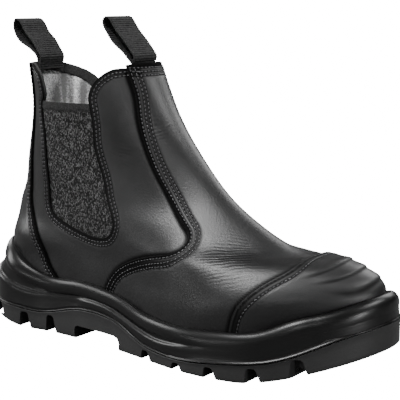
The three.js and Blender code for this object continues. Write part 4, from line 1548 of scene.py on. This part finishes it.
# %% A band along a path, and its ribs
def swept_band(name, path, width, thickness):
    """A flat band with rounded edges, swept along a side view path."""
    tangent = np.gradient(path, axis=0)
    tangent /= np.linalg.norm(tangent, axis=1)[:, None]
    normal = np.stack([-tangent[:, 1], tangent[:, 0]], axis=1)
    half, radius = width / 2, thickness / 2
    turns = np.linspace(-math.pi / 2, math.pi / 2, 6)
    section = [(half - radius + radius * math.cos(t), radius * math.sin(t)) for t in turns]
    section += [(-y, -h) for y, h in section]
    rings = []
    for y, height in section:
        flat = path + normal * height
        rings.append(np.stack([flat[:, 0], np.full(len(path), y), flat[:, 1]], axis=1))
    points = np.stack(rings, axis=1)
    count, size = points.shape[:2]
    index = np.arange(count * size).reshape(count, size)
    turned = np.roll(index, -1, axis=1)
    sides = np.stack([index[:-1], turned[:-1], turned[1:], index[1:]], axis=-1).reshape(-1, 4)
    ends = [index[0][::-1][None, :], index[-1][None, :]]
    return make_object(name, points.reshape(-1, 3), [sides] + ends), normal


def pull_loop(name, node, shape, at_heel):
    path = loop_path(node, shape, at_heel)
    core, normal = swept_band(name, path, webbing_width, webbing_core)
    line = np.stack([path[:, 0], np.zeros(len(path)), path[:, 1]], axis=1)
    lean = np.stack([normal[:, 0], np.zeros(len(path)), normal[:, 1]], axis=1)
    ribs = grown(name + "_ribs", line_object(name + "_path", [(line, lean)]), ribs_across, {
        "Pitch": webbing_rib_pitch * MM, "Rib radius": webbing_rib_radius * MM,
        "Band width": (webbing_width - webbing_selvedge) * MM,
        "Rib scale": Vector((0.85, 1, 1)), "Material": webbing_cloth})
    finish_piece(core, webbing_cloth, [node])
    finish_piece(ribs, webbing_cloth, [node], sharp=50)
    return path


back_path = pull_loop("loop_back", "pull_loop_back", BACK_LOOP, True)
front_path = pull_loop("loop_front", "pull_loop_front", FRONT_LOOP, False)
print("loop paths", len(back_path), len(front_path), "points")

# %% [markdown]
# ## The sole
#
# The sole's side changes along its length, so its lines (rim, ledge and parting line) are
# splines through stations, and its profile hangs from those lines. The midsole is a ring
# round the lasted upper, with a bead, a recessed band and a lower band.

# %% Sole lines
SOLE_STATIONS = (
    # at, rim, ledge and parting line as shares of the rim height
    (0, 1.52, 1.08, .54), (.04, 1.44, .98, .47), (.11, 1.195, .76, .38), (.182, 1, .665, .345),
    (.285, 1.005, .71, .515), (.37, .97, .71, .54), (.43, .905, .62, .47), (.49, .775, .48, .29),
    (.56, .71, .395, .2), (.63, .7, .43, .2), (.742, .74, .51, .28), (.825, .84, .62, .36),
    (.871, .985, .72, .47), (.937, 1.115, .84, .7), (1, 1.29, .98, .87),
)
SOLE_WIDTHS = (.342, .342, .401, .5, .455)
sole_heel_round = 0.13
sole_toe_round = 0.27
heel_flare = 6.5
flare_end_share = 0.24
flare_full_below = 0.8
flare_gone_above = 1.5
sole_columns = 640
station_table = np.array(SOLE_STATIONS)


def sole_line(column):
    knots, values = station_table[:, 0], station_table[:, column] * rim_height
    return lambda share: spline_weights(knots, share) @ values


rim_line, ledge_line, parting_line = (sole_line(column) for column in (1, 2, 3))


def even_sole_angles():
    def steps(angles):
        ring = sole_outline(angles, 0.0)
        return np.linalg.norm(np.diff(ring, axis=0), axis=1)
    return even_places(0, 2 * math.pi, sole_columns + 1, steps)[:-1]


def sole_outline(angles, out):
    """The sole's outline from above, moved out by a distance for each angle."""
    share = (1 + np.cos(angles)) / 2
    x = -out + (sole_length + 2 * out) * share
    width = spline_weights(WIDTH_STATIONS, np.clip(x / sole_length, 0.1, 0.9))
    half = width @ (np.array(SOLE_WIDTHS) * ball_width + sole_margin) + out
    half = half * round_end(share / sole_heel_round) * round_end((1 - share) / sole_toe_round)
    centre = swing_at(np.clip(x, 0, sole_length))
    return np.stack([x, centre - np.sign(np.sin(angles)) * half], axis=1)


sole_angles = even_sole_angles()
sole_share = (1 + np.cos(sole_angles)) / 2


def flare(share, z):
    """How far the sole flares round the heel: fully low down, and not at the rim."""
    rise = (z / rim_height - flare_full_below) / (flare_gone_above - flare_full_below)
    return heel_flare * (1 - smoother(share / flare_end_share)) * (1 - smoother(rise))


def sole_ring(out, height):
    z = np.broadcast_to(height, sole_angles.shape)
    flat = sole_outline(sole_angles, out + flare(sole_share, z))
    return np.concatenate([flat, z[:, None]], axis=1)


def ring_faces(rings, closed):
    count, size = len(rings), len(rings[0])
    index = np.arange(count * size).reshape(count, size)
    upper = np.roll(index, -1, axis=0) if closed else index[1:]
    lower = index if closed else index[:-1]
    return np.stack([lower, np.roll(lower, -1, axis=1), np.roll(upper, -1, axis=1), upper],
                    axis=-1).reshape(-1, 4)


# %% Midsole
MIDSOLE_PROFILE = (
    # line, drop below it, step out along the side and at the forefoot, in millimetres
    ("rim", 6.0, -9.5, -9.5), ("rim", 1.0, -9.5, -9.5), ("rim", 0.5, -8.5, -8.5),
    ("rim", 0.1, -4.6, -7.0), ("rim", -0.3, -3.9, -6.2), ("rim", -0.35, -3.1, -5.3),
    ("rim", 0.0, -2.3, -4.2), ("rim", 0.7, -1.55, -3.2), ("rim", 1.7, -0.9, -2.3),
    ("rim", 3.0, -0.4, -1.5), ("rim", 4.5, -0.15, -1.0), ("rim", 6.0, -0.2, -0.75),
    ("rim", 7.4, -0.6, -0.65), ("rim", 8.6, -1.2, -0.65), ("rim", 9.6, -1.7, -0.7),
    ("rim", 10.6, -1.9, -0.7),
    ("ledge", -2.0, -1.9, -0.7), ("ledge", -1.2, -1.85, -0.65), ("ledge", -0.7, -1.6, -0.6),
    ("ledge", -0.2, -0.9, -0.6), ("ledge", 0.4, -0.3, -0.55), ("ledge", 1.1, 0.0, -0.5),
    ("ledge", 2.2, 0.15, -0.45), ("ledge", 3.4, 0.1, -0.4),
    ("parting", -3.0, 0.0, -0.3), ("parting", -2.2, 0.1, -0.1), ("parting", -1.8, -0.3, 0.1),
    ("parting", -1.4, -0.3, 0.6), ("parting", -1.1, 0.3, 0.95), ("parting", -0.7, 0.55, 1.0),
    ("parting", -0.35, 0.4, 0.6), ("parting", -0.3, -4.8, -4.8), ("parting", -3.0, -9.5, -9.5),
)
lines_of_sole = {"rim": rim_line, "ledge": ledge_line, "parting": parting_line}
ledge_gap = (0.2, 0.27)
ledge_fade = 0.07
ledge_flat_out = -0.9
ledge_flat_share = 0.85
forefoot_from = 0.56
forefoot_to = 0.72
forefoot = smoother((sole_share - forefoot_from) / (forefoot_to - forefoot_from))
gap_start, gap_end = ledge_gap
in_gap = (smoother((sole_share - gap_start + ledge_fade) / ledge_fade)
          * (1 - smoother((sole_share - gap_end) / ledge_fade)))
midsole_rings = []
for line, drop, out, out_forefoot in MIDSOLE_PROFILE:
    height = lines_of_sole[line](sole_share) - drop
    stepped = out + (out_forefoot - out) * forefoot
    if line == "ledge":
        stepped = stepped + (ledge_flat_out - stepped) * ledge_flat_share * in_gap
    if line == "parting":
        height = np.minimum(height, midsole_rings[-1][:, 2] - 0.02)
    midsole_rings.append(sole_ring(stepped, height))
midsole = make_object("midsole_ring", np.concatenate(midsole_rings),
                      [ring_faces(midsole_rings, closed=True)])
finish_piece(midsole, foam_rubber, ["midsole"], sharp=55)

# %% [markdown]
# ## The tread
#
# The outsole is a closed body from the parting line down: a plain stack of rings whose
# underside is filled towards the middle line. The slots between the lugs, the arch and the
# runners are cut by booleans, one closed body after another, because real cuts are what shows
# along the lower edge.

# %% Outsole body
heel_breast_share = 0.285
arch_end_share = 0.432
arch_height = 9.5
rocker_start_share = 0.762
rocker_power = 1.55
heel_bevel = 12.0
heel_bevel_share = 0.137
heel_bevel_power = 1.3
under_rings = 14


def tread_height(share):
    rocker = np.clip((share - rocker_start_share) / (1 - rocker_start_share), 0, 1)
    bevel = np.clip(1 - share / heel_bevel_share, 0, 1)
    return toe_spring * rocker ** rocker_power + heel_bevel * bevel ** heel_bevel_power


# %% Fill a ring towards its middle line
def filled(ring, steps, height):
    """Rings from an outline in to its middle line, at a height for each share."""
    centre = np.stack([ring[:, 0], swing_at(np.clip(ring[:, 0], 0, sole_length))], axis=1)
    rings = []
    for step in range(1, steps + 1):
        t = 1 - step / (steps + 0.35)
        flat = centre + (ring[:, :2] - centre) * t
        rings.append(np.concatenate([flat, height(flat[:, 0] / sole_length)[:, None]], axis=1))
    return rings


def close_middle(index):
    """Squares across the thin gap that is left along the middle line."""
    half = len(index) // 2
    a = index[1:half]
    b = np.roll(index[::-1], 1)[1:half]
    squares = np.stack([a[:-1], a[1:], b[1:], b[:-1]], axis=1)
    tips = np.array([[index[0], a[0], b[0]], [index[half], b[-1], a[-1]]])
    return squares, tips


# %% Rings of the outsole
OUTSOLE_PROFILE = (
    # drop below the parting line, and step out, in millimetres
    (0.3, -5.0), (0.25, -0.3), (0.35, 0.2), (0.7, 0.35), (1.5, 0.15),
)
outsole_rings = [sole_ring(out, parting_line(sole_share) - drop)
                 for drop, out in OUTSOLE_PROFILE]
side_top = outsole_rings[-1][:, 2]
side_low = tread_height(sole_share) + 1.6
for t in (0.3, 0.6, 0.85):
    height = side_top * (1 - t) + side_low * t
    outsole_rings.append(sole_ring(0.1, np.minimum(height, outsole_rings[-1][:, 2] - 0.05)))
for rise, out in ((1.6, 0.1), (0.9, -0.1), (0.35, -0.5), (0.0, -1.3)):
    outsole_rings.append(sole_ring(out, tread_height(sole_share) + rise))
outsole_rings += filled(outsole_rings[-1], under_rings, tread_height)
top_fill = filled(outsole_rings[0], 3, lambda share: np.interp(
    share, sole_share[:sole_columns // 2][::-1],
    outsole_rings[0][:sole_columns // 2, 2][::-1]))
outsole_rings = top_fill[::-1] + outsole_rings
body_points = np.concatenate(outsole_rings)
body_index = np.arange(len(body_points)).reshape(len(outsole_rings), -1)
top_squares, top_tips = close_middle(body_index[0])
low_squares, low_tips = close_middle(body_index[-1])
outsole = make_object("outsole_tread", body_points, [
    ring_faces(outsole_rings, closed=False),
    top_squares[:, ::-1], low_squares, top_tips[:, ::-1], low_tips])
print("outsole body", len(body_points), "points")

# %% Slots and runners
HEEL_SLOTS = (.045, .129, .206)
FOREFOOT_SLOTS = (.52, .616, .702, .795, .877)
slot_width = 7.0
slot_inset = 12.0
slot_roof = 2.4
tread_depth = 4.5
runner_width = 4.0
runner_depth = 3.5
runner_aside = 15.0
deep = -20.0
wide = 90.0


# %% Closed bodies that cut
def prism(outline, from_y, to_y):
    """A closed body with a side view outline, from one side to another."""
    count = len(outline)
    outline = np.array(outline, float)
    area = np.sum(outline[:, 0] * np.roll(outline[:, 1], -1)
                  - np.roll(outline[:, 0], -1) * outline[:, 1])
    if area < 0:
        outline = outline[::-1]
    near = np.stack([outline[:, 0], np.full(count, from_y), outline[:, 1]], axis=1)
    far = near + np.array([0, to_y - from_y, 0])
    index = np.arange(count)
    after = (index + 1) % count
    sides = np.stack([index, index + count, after + count, after], axis=1)
    caps = [index[None, :], (index + count)[::-1][None, :]]
    return np.concatenate([near, far]), [sides] + caps


def slot_outline(at, roof, low):
    """A slot that widens downwards, with a slanted front side."""
    x = at * sole_length
    return ((x - slot_width / 2 - 0.8, low), (x - slot_width / 2 + 0.3, roof - 1.5),
            (x - slot_width / 2 + 1.5, roof), (x + slot_width / 2 - 1.8, roof),
            (x + slot_width / 2 - 0.3, roof - 1.5), (x + slot_width / 2 + 2.6, low))


def tread_cutters():
    bodies = []
    for at in HEEL_SLOTS + FOREFOOT_SLOTS:
        share = np.array([at])
        roof = float(parting_line(share)[0]) - slot_roof
        floor_here = float(tread_height(share)[0])
        middle = float(swing_at(share * sole_length)[0])
        half = float(spline_weights(WIDTH_STATIONS, np.clip(share, 0.1, 0.9))[0]
                     @ np.array(SOLE_WIDTHS)) * ball_width + sole_margin - slot_inset
        outline = slot_outline(at, roof, floor_here - 1)
        bodies.append(prism(outline, -wide, middle - half))
        bodies.append(prism(outline, middle + half, wide))
        if at > HEEL_SLOTS[0]:
            groove = slot_outline(at, floor_here + tread_depth, floor_here - 1)
            bodies.append(prism(groove, middle - half - 1, middle + half + 1))
    breast, arch_end = heel_breast_share * sole_length, arch_end_share * sole_length
    arch = ((breast, deep), (breast, arch_height - 3), (breast + 0.9, arch_height - 0.9),
            (breast + 3, arch_height), (arch_end - 5, arch_height),
            (arch_end - 1.5, arch_height - 1.2), (arch_end, arch_height - 4), (arch_end, deep))
    bodies.append(prism(arch, -wide, wide))
    for start, end in ((HEEL_SLOTS[0], heel_breast_share), (arch_end_share, FOREFOOT_SLOTS[-2])):
        middle = float(swing_at(np.array([(start + end) / 2 * sole_length]))[0])
        for aside in (-runner_aside, runner_aside):
            near = middle + aside - runner_width / 2
            outline = ((start * sole_length, deep), (start * sole_length, runner_depth),
                       (end * sole_length, runner_depth), (end * sole_length, deep))
            bodies.append(prism(outline, near, near + runner_width))
    return bodies


# %% Cut the tread
def cut_away(piece, bodies):
    """Cuts closed bodies from a piece, one after another, and keeps a plain mesh."""
    for points, faces in bodies:
        cutter = make_object("cutter", points, faces)
        modifier = piece.modifiers.new("cut", "BOOLEAN")
        modifier.operation = "DIFFERENCE"
        modifier.solver = "MANIFOLD"
        modifier.object = cutter
        bpy.context.view_layer.update()
        evaluated = piece.evaluated_get(bpy.context.evaluated_depsgraph_get())
        mesh = bpy.data.meshes.new_from_object(evaluated)
        piece.modifiers.clear()
        piece.data = mesh
        bpy.data.objects.remove(cutter)
    return piece


cut_away(outsole, tread_cutters())
finish_piece(outsole, tread_rubber, ["outsole"], sharp=32)

# %% [markdown]
# ## Insole
#
# The sock board inside shows only from above. It follows the feather line of the last and is
# cupped a little at its edge, as a pressed sock is.

# %% Insole
insole_inset = 3.0
insole_thickness = 3.0
insole_angles = ring_angles[::2]
level_zero = np.zeros(len(insole_angles))
edge_ring = skin(level_zero, insole_angles, -insole_inset)


def insole_rings():
    rings = [edge_ring, edge_ring + [0, 0, insole_thickness + 1.0]]
    centre = np.stack([edge_ring[:, 0], swing_at(edge_ring[:, 0])], axis=1)
    for t in (0.96, 0.9, 0.8, 0.6, 0.4, 0.2, 0.03):
        flat = centre + (edge_ring[:, :2] - centre) * t
        cup = 1.0 * smoother((t - 0.6) / 0.4)
        share = flat[:, 0] / sole_length
        height = bed_height(share) + insole_thickness + cup
        rings.append(np.concatenate([flat, height[:, None]], axis=1))
    return rings


sock_rings = insole_rings()
sock_index = np.arange(len(sock_rings) * len(insole_angles)).reshape(len(sock_rings), -1)
sock_top, sock_tips = close_middle(sock_index[-1])
sock_low, sock_low_tips = close_middle(sock_index[0])
insole = make_object("sock", np.concatenate(sock_rings), [
    ring_faces(sock_rings, closed=False)[:, ::-1], sock_top[:, ::-1], sock_tips[:, ::-1],
    sock_low, sock_low_tips])
finish_piece(insole, sock_cloth, ["insole"], sharp=50)

# %% [markdown]
# ## Studio
#
# The photograph is a catalogue shot: a white ground, and soft lights that leave pale
# reflections on the vamp, the shaft, the toe and the heel. The lights in front stand where the
# leather mirrors them to the camera, and the three behind serve the views of the far side. The
# world is white to the camera and dim to the leather, so that the black stays black.

# %% Floor
paper_white = 18.0
ambient = 0.01
boot_middle = (0.09, 0.0, 0.08)


def white_floor():
    """Paper white to the camera, and a plain pale floor to the light that falls on it."""
    material, tree, shader = new_material("white_floor", {
        "Roughness": 0.9, "Base Color": (0.13, 0.13, 0.13, 1)})[:3]
    glow = tree.nodes.new("ShaderNodeEmission")
    glow.inputs["Strength"].default_value = paper_white
    kind = tree.nodes.new("ShaderNodeLightPath")
    mixed = tree.nodes.new("ShaderNodeMixShader")
    tree.links.new(kind.outputs["Is Camera Ray"], mixed.inputs[0])
    tree.links.new(shader.outputs[0], mixed.inputs[1])
    tree.links.new(glow.outputs[0], mixed.inputs[2])
    tree.links.new(mixed.outputs[0], tree.nodes["Material Output"].inputs["Surface"])
    return material


floor_half = 3.0
floor_mesh = bpy.data.meshes.new("floor")
floor_mesh.from_pydata(
    [(-floor_half, -floor_half, 0), (floor_half, -floor_half, 0),
     (floor_half, floor_half, 0), (-floor_half, floor_half, 0)], [], [(0, 1, 2, 3)])
floor = bpy.data.objects.new("floor", floor_mesh)
bpy.context.scene.collection.objects.link(floor)
floor_mesh.materials.append(white_floor())
floor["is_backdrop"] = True

# %% World and lights
world = bpy.data.worlds.new("studio")
world.use_nodes = True
bpy.context.scene.world = world
sky = world.node_tree
seen = sky.nodes["Background"]
seen.inputs["Color"].default_value = (1, 1, 1, 1)
path_kind = sky.nodes.new("ShaderNodeLightPath")
sky.links.new(spread(sky, path_kind.outputs["Is Camera Ray"], ambient, paper_white),
              seen.inputs["Strength"])


def softbox(name, place, size, power):
    """A rectangular light that faces the middle of the boot."""
    data = bpy.data.lights.new(name, "AREA")
    data.shape = "RECTANGLE"
    data.size, data.size_y = size
    data.energy = power
    light = bpy.data.objects.new(name, data)
    light.location = place
    aim = Vector(boot_middle) - Vector(place)
    light.rotation_euler = aim.to_track_quat("-Z", "Y").to_euler()
    bpy.context.scene.collection.objects.link(light)


LIGHTS = (
    # name, place in metres, width and height in metres, watts
    ("top_light", (0.05, -0.48, 1.1), (0.4, 0.3), 18),
    ("left_light", (-1.15, -0.55, 0.65), (0.5, 0.6), 12),
    ("side_light", (-0.2, -1.45, 0.34), (0.2, 0.3), 1.5),
    ("shaft_light", (0.75, -1.04, 0.63), (0.25, 0.25), 2.2),
    ("heel_strip", (-0.6, -1.28, 0.1), (0.25, 0.12), 1.6),
    ("toe_strip", (1.2, -0.14, 0.12), (0.08, 0.22), 3.8),
    ("shin_light", (1.0, 0.35, 0.9), (0.5, 0.4), 8),
    ("inner_light", (0.3, 1.3, 0.9), (0.9, 0.7), 11),
    ("heel_light", (-1.2, 0.5, 0.7), (0.7, 0.7), 9),
)
for name, place, size, power in LIGHTS:
    softbox(name, place, size, power)
print(len(LIGHTS), "lights set")

# %% Print the sizes of the part and the dressed boot
visual_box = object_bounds()
for label, box in (("part", cad_box), ("dressed", visual_box)):
    print(label, [[round(value / MM, 1) for value in corner] for corner in box])
